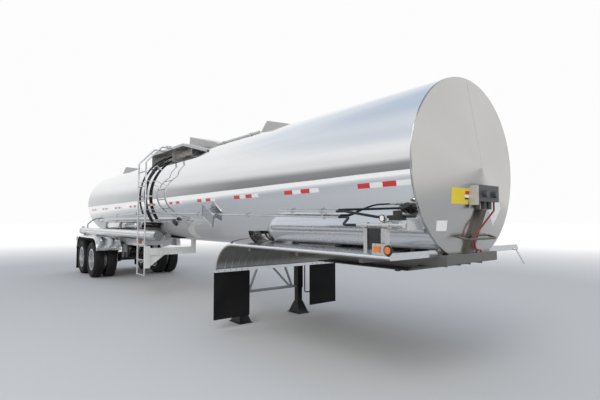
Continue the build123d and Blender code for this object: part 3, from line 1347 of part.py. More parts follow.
TAIL_LAMPS = (LAMP_BOARD_Y - 470.0, LAMP_BOARD_Y - 330.0, LAMP_BOARD_Y - 190.0)
TAIL_LAMP_RADIUS = 52.0
TAIL_LAMP_DEEP = 22.0
LAMP_BOARD_X = station(BUMPER_STATION - 30) - SEAT_GAP
corner_lamp_x = station(BUMPER_STATION - 40) + SEAT_GAP
lamp_mid_z = (LAMP_BOARD_Z[0] + LAMP_BOARD_Z[1]) / 2
with BuildPart() as tail_lamps:
    for side in (RIGHT, LEFT):
        for lamp_y in TAIL_LAMPS:
            face = (LAMP_BOARD_X, side * lamp_y, lamp_mid_z)
            back = (LAMP_BOARD_X - TAIL_LAMP_DEEP, side * lamp_y, lamp_mid_z)
            bar(face, back, TAIL_LAMP_RADIUS)
        slab(
            (corner_lamp_x, corner_lamp_x + 45),
            (side * (LAMP_BOARD_Y - 60), side * (LAMP_BOARD_Y + 5)),
            (lamp_mid_z - 50, lamp_mid_z + 10),
        )
save(tail_lamps, "tail_lamps")

# Rear outlet: internal valve under the tank, elbow and pipe, capped adapter pointing back
OUTLET_STATION = REAR_AXLE + 15.0
OUTLET_Z = 800.0
OUTLET_RADIUS = 50.0
OUTLET_BEND = 110.0
ADAPTER_RADIUS = 45.7
ADAPTER_END = TANK_LENGTH + 460.0
ADAPTER_LONG = 50.0
VALVE_BODY_LOW = TANK_BELLY_Z - 129.0
OUTLET_RINGS = (
    # front station, rear station, radius
    (TANK_LENGTH + 10.0, TANK_LENGTH + 170.0, 82.0),
    (ADAPTER_END - ADAPTER_LONG - 80.0, ADAPTER_END - ADAPTER_LONG, 62.0),
    (ADAPTER_END - ADAPTER_LONG - 1.0, ADAPTER_END, ADAPTER_RADIUS),
)
outlet_x = station(OUTLET_STATION)
with BuildPart() as outlet:
    bar((outlet_x, 0, TANK_BELLY_Z + 61), (outlet_x, 0, VALVE_BODY_LOW), 100)
    bar((outlet_x, 0, VALVE_BODY_LOW + 30), (outlet_x, 0, VALVE_BODY_LOW), 130)
    bent_rod(
        (
            (outlet_x, 0, VALVE_BODY_LOW + 2),
            (outlet_x, 0, OUTLET_Z),
            (station(ADAPTER_END - ADAPTER_LONG - 20), 0, OUTLET_Z),
        ),
        OUTLET_RADIUS,
        OUTLET_BEND,
    )
    for front, rear, radius in OUTLET_RINGS:
        bar((station(front), 0, OUTLET_Z), (station(rear), 0, OUTLET_Z), radius)
    clear_of_tank()
save(outlet, "outlet")

# Hose tubes along both sides with closed fronts and hinge ears at the rear, and their hinged doors
DOOR_RADIUS = 112.0
DOOR_THICK = 12.0
DOOR_PIN = 6.0
DOOR_PIVOT_Z = TUBE_Z + DOOR_RADIUS + 16.0
door_x = station(TUBE_REAR + SEAT_GAP)
door_pivot_x = door_x - DOOR_THICK / 2
EAR_Y = (31.0, 41.0)
EAR_LONG = 70.0
EAR_EYE = 12.0
TUBE_CAP = 6.0
with BuildPart() as hose_tubes:
    for side in (RIGHT, LEFT):
        mid = side * TUBE_Y
        bar((station(TUBE_FRONT), mid, TUBE_Z), (station(TUBE_REAR), mid, TUBE_Z), TUBE_RADIUS)
        for way in (-1, 1):
            ear_y = (mid + way * EAR_Y[0], mid + way * EAR_Y[1])
            ear_x = (station(TUBE_REAR - EAR_LONG), station(TUBE_REAR))
            slab(ear_x, ear_y, (TUBE_Z + 60, DOOR_PIVOT_Z + EAR_EYE))
            slab(
                (station(TUBE_REAR), door_pivot_x - EAR_EYE),
                ear_y,
                (DOOR_PIVOT_Z - EAR_EYE + 1, DOOR_PIVOT_Z + EAR_EYE),
            )
        bar(
            (station(TUBE_FRONT + TUBE_CAP), mid, TUBE_Z),
            (station(TUBE_REAR + 1), mid, TUBE_Z),
            TUBE_RADIUS - TUBE_WALL,
            mode=Mode.SUBTRACT,
        )
        bar(
            (door_pivot_x, mid - EAR_Y[1] - 1, DOOR_PIVOT_Z),
            (door_pivot_x, mid + EAR_Y[1] + 1, DOOR_PIVOT_Z),
            DOOR_PIN + SEAT_GAP,
            mode=Mode.SUBTRACT,
        )
save(hose_tubes, "hose_tubes")

DOOR_TAB_HALF = 24.0
DOOR_PULL = (14.0, 95.0, 45.0)
for side_name, side in SIDES:
    with BuildPart() as tube_door:
        mid = side * TUBE_Y
        bar((door_x, mid, TUBE_Z), (door_x - DOOR_THICK, mid, TUBE_Z), DOOR_RADIUS)
        slab(
            (door_x, door_x - DOOR_THICK),
            (mid - DOOR_TAB_HALF, mid + DOOR_TAB_HALF),
            (TUBE_Z + TUBE_RADIUS - 12, DOOR_PIVOT_Z),
        )
        pin_y = (mid - EAR_Y[1] - 3, mid + EAR_Y[1] + 3)
        bar((door_pivot_x, pin_y[0], DOOR_PIVOT_Z), (door_pivot_x, pin_y[1], DOOR_PIVOT_Z), DOOR_PIN)
        half, low, high = DOOR_PULL
        slab(
            (door_x - DOOR_THICK + 1, door_x - DOOR_THICK - half),
            (mid - half, mid + half),
            (TUBE_Z - low, TUBE_Z - high),
        )
    save(tube_door, f"tube_door_{side_name}")

# Cradles that hold the hose tubes out from the tank's underside, the first with a tab for the marker
CRADLE_TOP = TUBE_Z - TUBE_RADIUS
CRADLE_BAR = 30.0
CRADLE_FOOT_Y = (300.0, 420.0)
CRADLE_PAD = 60.0
with BuildPart() as tube_cradles:
    for side in (RIGHT, LEFT):
        mid = side * TUBE_Y
        for at_station in CRADLES:
            xs = (station(at_station) - CRADLE_HALF, station(at_station) + CRADLE_HALF)
            foot_y = (side * CRADLE_FOOT_Y[0], side * CRADLE_FOOT_Y[1])
            slab(xs, (foot_y[0], mid + side * CRADLE_PAD), (CRADLE_TOP - CRADLE_BAR, CRADLE_TOP))
            slab(xs, foot_y, (CRADLE_TOP - 1, TANK_BELLY_Z + 151))
            slab(xs, (mid - CRADLE_PAD, mid + CRADLE_PAD), (CRADLE_TOP - 1, CRADLE_TOP + 40))
        slab((marker_x - PLATE - 1, marker_x), (mid - 45, mid + 45), (MARKER_Z[0] - 5, CRADLE_TOP - 2))
        bar(
            (station(TUBE_FRONT), mid, TUBE_Z),
            (station(TUBE_REAR), mid, TUBE_Z),
            TUBE_RADIUS + SEAT_GAP,
            mode=Mode.SUBTRACT,
        )
    clear_of_tank()
save(tube_cradles, "tube_cradles")
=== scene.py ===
import math

import bmesh
import bpy
import numpy as np
from mathutils import Matrix, Vector


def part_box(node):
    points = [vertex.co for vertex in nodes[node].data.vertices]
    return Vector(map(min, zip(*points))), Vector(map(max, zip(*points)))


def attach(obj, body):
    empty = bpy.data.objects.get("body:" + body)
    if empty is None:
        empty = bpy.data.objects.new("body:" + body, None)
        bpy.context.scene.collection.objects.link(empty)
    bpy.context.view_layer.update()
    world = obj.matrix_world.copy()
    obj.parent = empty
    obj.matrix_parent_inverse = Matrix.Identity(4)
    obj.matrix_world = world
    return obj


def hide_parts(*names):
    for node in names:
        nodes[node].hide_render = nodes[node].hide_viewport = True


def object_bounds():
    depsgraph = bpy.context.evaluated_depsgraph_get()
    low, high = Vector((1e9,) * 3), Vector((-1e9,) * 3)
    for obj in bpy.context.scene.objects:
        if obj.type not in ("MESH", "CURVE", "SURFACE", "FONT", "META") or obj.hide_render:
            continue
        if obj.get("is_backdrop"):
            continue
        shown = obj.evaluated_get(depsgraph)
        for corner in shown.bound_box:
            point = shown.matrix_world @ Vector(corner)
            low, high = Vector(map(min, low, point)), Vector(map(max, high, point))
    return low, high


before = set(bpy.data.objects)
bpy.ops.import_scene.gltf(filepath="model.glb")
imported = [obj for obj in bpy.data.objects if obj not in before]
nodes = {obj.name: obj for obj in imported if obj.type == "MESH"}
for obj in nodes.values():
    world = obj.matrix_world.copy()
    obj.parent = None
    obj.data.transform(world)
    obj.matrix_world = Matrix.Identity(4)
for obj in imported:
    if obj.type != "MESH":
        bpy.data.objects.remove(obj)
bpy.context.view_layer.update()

# Studio: a pale floor that turns white with distance, later ahead of the trailer than elsewhere, a soft sky
# and one large soft lamp. The sky is white where the camera looks and a smooth soft grey low on the curb
# side. Every ray sees the same floor and sky, so that polished metal has tones to mirror.
scene = bpy.context.scene
scene.view_settings.view_transform = "Standard"
FLOOR_HALF, FLOOR_STEPS, FLOOR_TONE = 400.0, 9, (0.56, 0.557, 0.55)
FLOOR_WHITE, FLOOR_FAR, FLOOR_AHEAD = (9.5, 24.0), (60.0, 260.0), (24.0, 0.0)
SKY_STRENGTH, SKY_CURB, SKY_BEHIND = 0.98, (-0.02, -0.5), (0.3, -0.4)
KEY_PLACE, KEY_AIM = (9.0, -9.0, 11.0), (0.5, 0.0, 1.2)
KEY_SIZE, KEY_WATTS, KEY_PEAK = 13.0, 900.0, 3.4


def add_node(tree, kind, inputs=None, **settings):
    """Add a shader node, set its own settings and the named values of its inputs."""
    new = tree.nodes.new(kind)
    for name, value in settings.items():
        setattr(new, name, value)
    for name, value in (inputs or {}).items():
        new.inputs[name].default_value = value
    return new


def wire(tree, source, target):
    """Join an output socket to an input socket."""
    tree.links.new(source, target)


def new_material(name):
    """An empty node material: returns the material, its tree and its Principled shader."""
    mat = bpy.data.materials.new(name)
    mat.use_nodes = True
    return mat, mat.node_tree, mat.node_tree.nodes["Principled BSDF"]


def ramp_node(tree, stops):
    """A colour ramp with the given (place, colour) stops."""
    ramp = add_node(tree, "ShaderNodeValToRGB")
    while len(ramp.color_ramp.elements) < len(stops):
        ramp.color_ramp.elements.new(0.5)
    for element, (place, colour) in zip(ramp.color_ramp.elements, stops):
        element.position = place
        element.color = (*colour, 1.0)
    return ramp


def grid_quads(rows, cols, wrap=False):
    """Quads of a grid of points, row by row; wrap joins the last column to the first."""
    r, c = np.meshgrid(np.arange(rows - 1), np.arange(cols if wrap else cols - 1), indexing="ij")
    n = (c + 1) % cols
    return np.stack([r * cols + c, r * cols + n, (r + 1) * cols + n, (r + 1) * cols + c], -1).reshape(-1, 4)


def mesh_piece(name, points, quads, sharp=38.0):
    """A mesh object at the origin from points and quads: doubles merged, faces turned outwards,
    edges sharper than the given angle left crisp."""
    mesh = bpy.data.meshes.new(name)
    mesh.from_pydata(np.asarray(points).reshape(-1, 3).tolist(), [], np.asarray(quads).tolist())
    form = bmesh.new()
    form.from_mesh(mesh)
    bmesh.ops.remove_doubles(form, verts=form.verts, dist=1e-6)
    bmesh.ops.recalc_face_normals(form, faces=form.faces)
    form.to_mesh(mesh)
    form.free()
    mesh.polygons.foreach_set("use_smooth", np.ones(len(mesh.polygons), bool))
    mesh.set_sharp_from_angle(angle=math.radians(sharp))
    piece = bpy.data.objects.new(name, mesh)
    scene.collection.objects.link(piece)
    return piece


floor_line = np.linspace(-FLOOR_HALF, FLOOR_HALF, FLOOR_STEPS)
floor_y, floor_x = np.meshgrid(floor_line, floor_line, indexing="ij")
floor_points = np.stack([floor_x, floor_y, np.zeros_like(floor_x)], -1)
floor = mesh_piece("floor", floor_points, grid_quads(FLOOR_STEPS, FLOOR_STEPS))
if floor.data.polygons[0].normal.z < 0:
    floor.data.flip_normals()
floor_mat, tree, bsdf = new_material("floor_pale")
bsdf.inputs["Base Color"].default_value = (*FLOOR_TONE, 1)
bsdf.inputs["Roughness"].default_value = 0.9
bsdf.inputs["Specular IOR Level"].default_value = 0.1
place = add_node(tree, "ShaderNodeTexCoord")
reach = add_node(tree, "ShaderNodeVectorMath", operation="LENGTH")
wire(tree, place.outputs["Object"], reach.inputs[0])
fade = add_node(tree, "ShaderNodeMapRange", {"From Min": FLOOR_WHITE[0], "From Max": FLOOR_WHITE[1]})
wire(tree, reach.outputs["Value"], fade.inputs["Value"])
spot = add_node(tree, "ShaderNodeSeparateXYZ")
wire(tree, place.outputs["Object"], spot.inputs["Vector"])
not_ahead = add_node(tree, "ShaderNodeMapRange", {"From Min": FLOOR_AHEAD[0], "From Max": FLOOR_AHEAD[1]})
wire(tree, spot.outputs["X"], not_ahead.inputs["Value"])
side_white = add_node(tree, "ShaderNodeMath", operation="MULTIPLY")
wire(tree, fade.outputs["Result"], side_white.inputs[0])
wire(tree, not_ahead.outputs["Result"], side_white.inputs[1])
far = add_node(tree, "ShaderNodeMapRange", {"From Min": FLOOR_FAR[0], "From Max": FLOOR_FAR[1]})
wire(tree, reach.outputs["Value"], far.inputs["Value"])
white_share = add_node(tree, "ShaderNodeMath", operation="MAXIMUM")
wire(tree, side_white.outputs["Value"], white_share.inputs[0])
wire(tree, far.outputs["Result"], white_share.inputs[1])
white = add_node(tree, "ShaderNodeEmission", {"Color": (1, 1, 1, 1)})
blend = add_node(tree, "ShaderNodeMixShader")
wire(tree, white_share.outputs["Value"], blend.inputs["Fac"])
wire(tree, bsdf.outputs["BSDF"], blend.inputs[1])
wire(tree, white.outputs["Emission"], blend.inputs[2])
wire(tree, blend.outputs["Shader"], tree.nodes["Material Output"].inputs["Surface"])
floor.data.materials.append(floor_mat)
floor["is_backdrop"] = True

world = bpy.data.worlds.new("soft_sky")
scene.world = world
world.use_nodes = True
tree = world.node_tree
place = add_node(tree, "ShaderNodeTexCoord")
split = add_node(tree, "ShaderNodeSeparateXYZ")
wire(tree, place.outputs["Generated"], split.inputs["Vector"])
CLEAR_SKY = [
    (0.00, (1, 1, 1)),
    (0.48, (1, 1, 1)),
    (0.62, (0.82, 0.87, 0.93)),
    (0.80, (0.62, 0.70, 0.82)),
    (1.00, (0.46, 0.56, 0.71)),
]
clear_sky = ramp_node(tree, CLEAR_SKY)
clear_sky.color_ramp.interpolation = "EASE"
wire(tree, split.outputs["Z"], clear_sky.inputs["Fac"])
CURB_SKY = [
    (0.00, (0.26, 0.26, 0.27)),
    (0.10, (0.30, 0.30, 0.31)),
    (0.24, (0.86, 0.86, 0.87)),
    (0.40, (0.96, 0.96, 0.97)),
    (0.62, (0.74, 0.79, 0.86)),
    (0.82, (0.95, 0.95, 0.96)),
    (1.00, (0.70, 0.76, 0.85)),
]
curb_sky = ramp_node(tree, CURB_SKY)
curb_sky.color_ramp.interpolation = "EASE"
wire(tree, split.outputs["Z"], curb_sky.inputs["Fac"])
curb_side = add_node(tree, "ShaderNodeMapRange", {"From Min": SKY_CURB[0], "From Max": SKY_CURB[1]})
wire(tree, split.outputs["Y"], curb_side.inputs["Value"])
behind = add_node(tree, "ShaderNodeMapRange", {"From Min": SKY_BEHIND[0], "From Max": SKY_BEHIND[1]})
wire(tree, split.outputs["X"], behind.inputs["Value"])
quarter = add_node(tree, "ShaderNodeMath", operation="MULTIPLY")
wire(tree, curb_side.outputs["Result"], quarter.inputs[0])
wire(tree, behind.outputs["Result"], quarter.inputs[1])
sky = add_node(tree, "ShaderNodeMix", data_type="RGBA")
wire(tree, quarter.outputs["Value"], sky.inputs["Factor"])
wire(tree, clear_sky.outputs["Color"], sky.inputs[6])
wire(tree, curb_sky.outputs["Color"], sky.inputs[7])
wire(tree, sky.outputs[2], tree.nodes["Background"].inputs["Color"])
tree.nodes["Background"].inputs["Strength"].default_value = SKY_STRENGTH

key = bpy.data.objects.new("key_lamp", bpy.data.lights.new("key_lamp", "AREA"))
key.data.size = KEY_SIZE
key.data.energy = KEY_WATTS
key.location = KEY_PLACE
key.rotation_euler = (Vector(KEY_AIM) - Vector(KEY_PLACE)).to_track_quat("-Z", "Y").to_euler()
scene.collection.objects.link(key)
key.data.use_nodes = True
tree = key.data.node_tree
over_lamp = add_node(tree, "ShaderNodeNewGeometry")
from_middle = add_node(tree, "ShaderNodeVectorMath", {1: (0.5, 0.5, 0.0)}, operation="SUBTRACT")
wire(tree, over_lamp.outputs["Parametric"], from_middle.inputs[0])
flat = add_node(tree, "ShaderNodeVectorMath", {1: (1.0, 1.0, 0.0)}, operation="MULTIPLY")
wire(tree, from_middle.outputs["Vector"], flat.inputs[0])
off_middle = add_node(tree, "ShaderNodeVectorMath", operation="LENGTH")
wire(tree, flat.outputs["Vector"], off_middle.inputs[0])
glow = add_node(tree, "ShaderNodeMapRange", {"From Min": 0.5, "From Max": 0.0, "To Max": KEY_PEAK})
glow.interpolation_type = "SMOOTHSTEP"
wire(tree, off_middle.outputs["Value"], glow.inputs["Value"])
wire(tree, glow.outputs["Result"], tree.nodes["Emission"].inputs["Strength"])

IMAGE_WIDTH, FOCAL_PIXELS, SENSOR = 600, 420.29, 36.0
CAMERA_PLACE, CAMERA_YAW, CAMERA_PITCH = (8.7344, -4.1162, 1.6), 141.297, 2.941
yaw, pitch = math.radians(CAMERA_YAW), math.radians(CAMERA_PITCH)
ahead = Vector((math.cos(yaw) * math.cos(pitch), math.sin(yaw) * math.cos(pitch), math.sin(pitch)))
right = Vector((math.sin(yaw), -math.cos(yaw), 0.0))
camera = bpy.data.objects.new("camera", bpy.data.cameras.new("camera"))
camera.data.sensor_width = SENSOR
camera.data.lens = FOCAL_PIXELS / IMAGE_WIDTH * SENSOR
turned_view = Matrix((right, right.cross(ahead), -ahead)).transposed().to_4x4()
camera.matrix_world = Matrix.Translation(CAMERA_PLACE) @ turned_view
scene.collection.objects.link(camera)
scene.camera = camera

# Tank jacket: polished stainless sheet wrapped round the insulation, turned in over the heads at its ends.
# The sheet lies slightly uneven, so a mirrored line wanders a little.
tank_low, tank_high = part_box("tank_shell")
TANK_FRONT, TANK_REAR = tank_high[0], tank_low[0]
TANK_RADIUS = (tank_high[2] - tank_low[2]) / 2
TANK_AXIS = (tank_high[2] + tank_low[2]) / 2
JACKET_LIP, JACKET_ROWS, JACKET_COLS = 0.007, 180, 360
RIPPLE, RIPPLE_LONG, RIPPLE_SWAY, RIPPLE_TWIST = 0.00032, 5.1, 2.0, 0.9
AXES = np.eye(3)


def film_and_shade_group():
    """Node group: a film of road dust that thickens low down and in soft patches, and painted shade in
    the film's colour on faces that look down. It gives the base colour and roughness with both mixed in."""
    group = bpy.data.node_groups.new("road_film_and_shade", "ShaderNodeTree")
    for name in ("Base", "Film_and_shade"):
        group.interface.new_socket(name, in_out="INPUT", socket_type="NodeSocketColor")
    for name in ("Amount", "Under_shade", "Roughness", "Patch"):
        group.interface.new_socket(name, in_out="INPUT", socket_type="NodeSocketFloat")
    for name, kind in (("Color", "Color"), ("Roughness", "Float")):
        group.interface.new_socket(name, in_out="OUTPUT", socket_type="NodeSocket" + kind)
    inside = add_node(group, "NodeGroupInput")
    outside = add_node(group, "NodeGroupOutput")
    place = add_node(group, "ShaderNodeTexCoord")
    patches = add_node(group, "ShaderNodeTexNoise", {"Detail": 6.0})
    wire(group, place.outputs["Object"], patches.inputs["Vector"])
    wire(group, inside.outputs["Patch"], patches.inputs["Scale"])
    split = add_node(group, "ShaderNodeSeparateXYZ")
    wire(group, place.outputs["Object"], split.inputs["Vector"])
    low = add_node(group, "ShaderNodeMapRange", {"From Min": 1.3, "From Max": 0.0, "To Min": 0.25})
    wire(group, split.outputs["Z"], low.inputs["Value"])
    soft = ramp_node(group, [(0.38, (0, 0, 0)), (0.72, (1, 1, 1))])
    wire(group, patches.outputs["Fac"], soft.inputs["Fac"])
    mask = add_node(group, "ShaderNodeMath", operation="MULTIPLY")
    wire(group, soft.outputs["Color"], mask.inputs[0])
    wire(group, low.outputs["Result"], mask.inputs[1])
    strength = add_node(group, "ShaderNodeMath", operation="MULTIPLY")
    wire(group, mask.outputs["Value"], strength.inputs[0])
    wire(group, inside.outputs["Amount"], strength.inputs[1])
    # Painted shade: faces that look down are pulled toward the film colour, by their own amount.
    facing = add_node(group, "ShaderNodeNewGeometry")
    facing_split = add_node(group, "ShaderNodeSeparateXYZ")
    wire(group, facing.outputs["Normal"], facing_split.inputs["Vector"])
    down = add_node(group, "ShaderNodeMapRange", {"From Min": -0.02, "From Max": -0.45})
    wire(group, facing_split.outputs["Z"], down.inputs["Value"])
    under_shade = add_node(group, "ShaderNodeMath", operation="MULTIPLY")
    wire(group, down.outputs["Result"], under_shade.inputs[0])
    wire(group, inside.outputs["Under_shade"], under_shade.inputs[1])
    cover = add_node(group, "ShaderNodeMath", operation="ADD", use_clamp=True)
    wire(group, strength.outputs["Value"], cover.inputs[0])
    wire(group, under_shade.outputs["Value"], cover.inputs[1])
    colour = add_node(group, "ShaderNodeMix", data_type="RGBA")
    wire(group, cover.outputs["Value"], colour.inputs["Factor"])
    wire(group, inside.outputs["Base"], colour.inputs[6])
    wire(group, inside.outputs["Film_and_shade"], colour.inputs[7])
    rough = add_node(group, "ShaderNodeMix", {3: 0.85})
    wire(group, cover.outputs["Value"], rough.inputs["Factor"])
    wire(group, inside.outputs["Roughness"], rough.inputs[2])
    wire(group, colour.outputs[2], outside.inputs["Color"])
    wire(group, rough.outputs[0], outside.inputs["Roughness"])
    return group


def grain_group():
    """Node group: fine streaks stretched by the given scale on each axis, as one value."""
    group = bpy.data.node_groups.new("metal_grain", "ShaderNodeTree")
    group.interface.new_socket("Scale", in_out="INPUT", socket_type="NodeSocketVector")
    group.interface.new_socket("Value", in_out="OUTPUT", socket_type="NodeSocketFloat")
    inside = add_node(group, "NodeGroupInput")
    outside = add_node(group, "NodeGroupOutput")
    place = add_node(group, "ShaderNodeTexCoord")
    stretch = add_node(group, "ShaderNodeMapping")
    wire(group, place.outputs["Object"], stretch.inputs["Vector"])
    wire(group, inside.outputs["Scale"], stretch.inputs["Scale"])
    streaks = add_node(group, "ShaderNodeTexNoise", {"Scale": 1.0, "Detail": 4.0})
    wire(group, stretch.outputs["Vector"], streaks.inputs["Vector"])
    wire(group, streaks.outputs["Fac"], outside.inputs["Value"])
    return group


road_film_and_shade = film_and_shade_group()
metal_grain = grain_group()


def group_node(tree, group, values):
    """Place a node group in a material with its own values."""
    placed = add_node(tree, "ShaderNodeGroup", node_tree=group)
    for name, value in values.items():
        placed.inputs[name].default_value = value
    return placed


def finish(name, base, rough, metal, grain=(40, 40, 40), tone=0.12, bump=0.05, film=0.2,
           dust_and_shade=(0.30, 0.27, 0.24), patch=3.0, coat=0.0, under_shade=0.0, spec=0.5):
    """A finish with streaks in its tone and roughness, a fine bump, a film of road dust, and painted shade
    in the dust colour on faces that look down.
    """
    mat, tree, bsdf = new_material(name)
    streaks = group_node(tree, metal_grain, {"Scale": grain})
    dark = tuple(c * (1 - tone) for c in base)
    light = tuple(min(1.0, c * (1 + tone)) for c in base)
    tones = ramp_node(tree, [(0.25, dark), (0.75, light)])
    wire(tree, streaks.outputs["Value"], tones.inputs["Fac"])
    spread = add_node(
        tree,
        "ShaderNodeMapRange",
        {"From Min": 0.25, "From Max": 0.75, "To Min": rough * 0.8, "To Max": min(1.0, rough * 1.25)},
    )
    wire(tree, streaks.outputs["Value"], spread.inputs["Value"])
    cover = group_node(tree, road_film_and_shade, {"Film_and_shade": (*dust_and_shade, 1), "Amount": film, "Under_shade": under_shade, "Patch": patch})
    wire(tree, tones.outputs["Color"], cover.inputs["Base"])
    wire(tree, spread.outputs["Result"], cover.inputs["Roughness"])
    wire(tree, cover.outputs["Color"], bsdf.inputs["Base Color"])
    wire(tree, cover.outputs["Roughness"], bsdf.inputs["Roughness"])
    bsdf.inputs["Metallic"].default_value = metal
    bsdf.inputs["Coat Weight"].default_value = coat
    bsdf.inputs["Specular IOR Level"].default_value = spec
    relief = add_node(tree, "ShaderNodeBump", {"Strength": bump, "Distance": 0.002})
    wire(tree, streaks.outputs["Value"], relief.inputs["Height"])
    wire(tree, relief.outputs["Normal"], bsdf.inputs["Normal"])
    return mat


def dress(mat, *names):
    """Give a material to CAD nodes."""
    for name in names:
        for slot in nodes[name].material_slots:
            slot.material = mat


def fit(piece, mat, body="trailer"):
    """Give a new piece its material and the body it rides on."""
    piece.data.materials.append(mat)
    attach(piece, body)


def turned(centre, axis, radius, along, steps=64):
    """A profile turned about an axis (0, 1 or 2): for each profile point its radius and distance along
    the axis, for each column its angle round it. Gives a grid of points, profile by angle."""
    turn = np.linspace(0, 2 * np.pi, steps, endpoint=False)
    u, v = AXES[(axis + 1) % 3], AXES[(axis + 2) % 3]
    rim = np.cos(turn)[:, None] * u + np.sin(turn)[:, None] * v
    run = np.asarray(along, float)[:, None, None] * AXES[axis]
    return np.asarray(centre, float) + run + np.asarray(radius, float)[:, None, None] * rim


def turned_rings(name, centres, axis, radius, along, steps=32):
    """One mesh of the same turned profile at many centres."""
    one = turned((0, 0, 0), axis, radius, along, steps)
    centres = np.asarray(centres, float)
    points = centres[:, None, None, :] + one[None]
    quads = grid_quads(len(radius), steps, wrap=True)
    shift = np.arange(len(centres)) * len(radius) * steps
    return mesh_piece(name, points, (quads[None] + shift[:, None, None]).reshape(-1, 4))


along, turn = np.meshgrid(
    np.linspace(TANK_REAR, TANK_FRONT, JACKET_ROWS),
    np.linspace(0, 2 * np.pi, JACKET_COLS, endpoint=False),
    indexing="ij",
)
wave_long = np.sin(along * RIPPLE_LONG + RIPPLE_SWAY * np.sin(turn * 3))
wave_round = np.sin(turn * 4 + along * RIPPLE_TWIST)
radius = TANK_RADIUS + (RIPPLE * wave_long * wave_round - RIPPLE)
radius[[0, -1]] = TANK_RADIUS - JACKET_LIP
along[[0, 1]] = TANK_REAR
along[[-2, -1]] = TANK_FRONT
jacket_points = np.stack([along, radius * np.cos(turn), TANK_AXIS + radius * np.sin(turn)], -1)
jacket = mesh_piece("tank_jacket", jacket_points, grid_quads(JACKET_ROWS, JACKET_COLS, wrap=True))
jacket_mat = finish(
    "polished_jacket", (0.80, 0.81, 0.82), 0.04, 1.0, (0.6, 9, 9), 0.03, 0.015, 0.04, patch=1.2
)
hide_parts("tank_shell")
fit(jacket, jacket_mat)

# Reflective tape: stuck along both flanks in groups of four blocks, red and white by turns.
# The film has fine cells under a clear gloss face.
TAPE_LONG, TAPE_HALF, TAPE_LIFT, TAPE_FOOT = 0.166, 0.026, 0.0011, -0.0004
TAPE_PITCH, TAPE_ANGLE = 1.27, math.radians(-11.5)
TAPE_START, TAPE_GAP, TAPE_END = 0.004, 0.002, 0.01
TAPE_ALONG, TAPE_ACROSS = 3, 5
TAPE_GROUPS = int((TANK_FRONT - TANK_REAR) / TAPE_PITCH) + 1


def thin_plates(name, top, bottom):
    """Closed thin plates from two stacks of grids (plate, row, column, xyz): the upper and lower
    faces, joined round their edges."""
    count, rows, cols, _ = top.shape
    size = rows * cols
    points = np.concatenate([top.reshape(count, size, 3), bottom.reshape(count, size, 3)], 1)
    face = grid_quads(rows, cols)
    ids = np.arange(size).reshape(rows, cols)
    rim = np.concatenate([ids[0, :-1], ids[:-1, -1], ids[-1, :0:-1], ids[:0:-1, 0]])
    after = np.roll(rim, -1)
    sides = np.stack([rim, rim + size, after + size, after], -1)
    quads = np.concatenate([face, face[:, ::-1] + size, sides])
    shift = np.arange(count) * 2 * size
    return mesh_piece(name, points, (quads[None] + shift[:, None, None]).reshape(-1, 4))


def on_flank(station, arc, lift, side):
    """Points on the jacket's flank: distance behind the front edge, angle above level, lift off it."""
    reach = TANK_RADIUS + lift
    y = side * reach * np.cos(arc)
    return np.stack([TANK_FRONT - station, y, TANK_AXIS + reach * np.sin(arc)], -1)


def tape_film(name, colour):
    """Reflective sheeting: cell pattern in tone and relief under a clear face."""
    mat, tree, bsdf = new_material(name)
    place = add_node(tree, "ShaderNodeTexCoord")
    cells = add_node(tree, "ShaderNodeTexVoronoi", {"Scale": 260.0}, feature="DISTANCE_TO_EDGE")
    wire(tree, place.outputs["Object"], cells.inputs["Vector"])
    tones = ramp_node(tree, [(0.0, tuple(c * 0.75 for c in colour)), (0.12, colour)])
    wire(tree, cells.outputs["Distance"], tones.inputs["Fac"])
    wire(tree, tones.outputs["Color"], bsdf.inputs["Base Color"])
    relief = add_node(tree, "ShaderNodeBump", {"Strength": 0.1, "Distance": 0.0005})
    wire(tree, cells.outputs["Distance"], relief.inputs["Height"])
    wire(tree, relief.outputs["Normal"], bsdf.inputs["Normal"])
    bsdf.inputs["Roughness"].default_value = 0.32
    bsdf.inputs["Coat Weight"].default_value = 0.6
    return mat


group_at = np.arange(TAPE_GROUPS) * TAPE_PITCH
step_s = np.linspace(0, TAPE_LONG - TAPE_GAP, TAPE_ALONG)
step_a = TAPE_ANGLE + np.linspace(-TAPE_HALF, TAPE_HALF, TAPE_ACROSS) / TANK_RADIUS
red_film = tape_film("tape_red_film", (0.62, 0.012, 0.02))
white_film = tape_film("tape_white_film", (0.86, 0.86, 0.85))
for colour, film_mat, turn_at in (("white", white_film, 0.0), ("red", red_film, TAPE_LONG)):
    starts = (group_at[:, None] + turn_at + np.array([0.0, 2 * TAPE_LONG])).ravel() + TAPE_START
    starts = starts[starts + TAPE_LONG < TANK_FRONT - TANK_REAR - TAPE_END]
    for side_name, side in (("right", -1), ("left", 1)):
        s = (starts[:, None] + step_s)[:, :, None] + np.zeros(TAPE_ACROSS)
        a = np.zeros_like(s) + step_a
        tape_face = on_flank(s, a, TAPE_LIFT, side)
        tape_back = on_flank(s, a, TAPE_FOOT, side)
        tape = thin_plates(f"tape_{colour}_{side_name}", tape_face, tape_back)
        fit(tape, film_mat)

# Tank heads: shallow cones of stainless, spun to a satin finish whose fine rings shine in rays.
# One weld runs up from the middle of the front head, ground nearly flush. Labels and placard are blank.
HEAD_CONE, HEAD_RIM, HEAD_BOSS, HEAD_INSET = 0.175, 0.018, 0.014, 0.008
WELD_RUN, WELD_HALF, WELD_RISE = (0.02, 0.945), 0.0035, 0.0009
WELD_ROWS, WELD_COLS = 90, 8
LABEL_STEPS, LABEL_LIFT, BLOCK_LIFT, LABEL_FOOT = 7, 0.0016, 0.0024, 0.0001


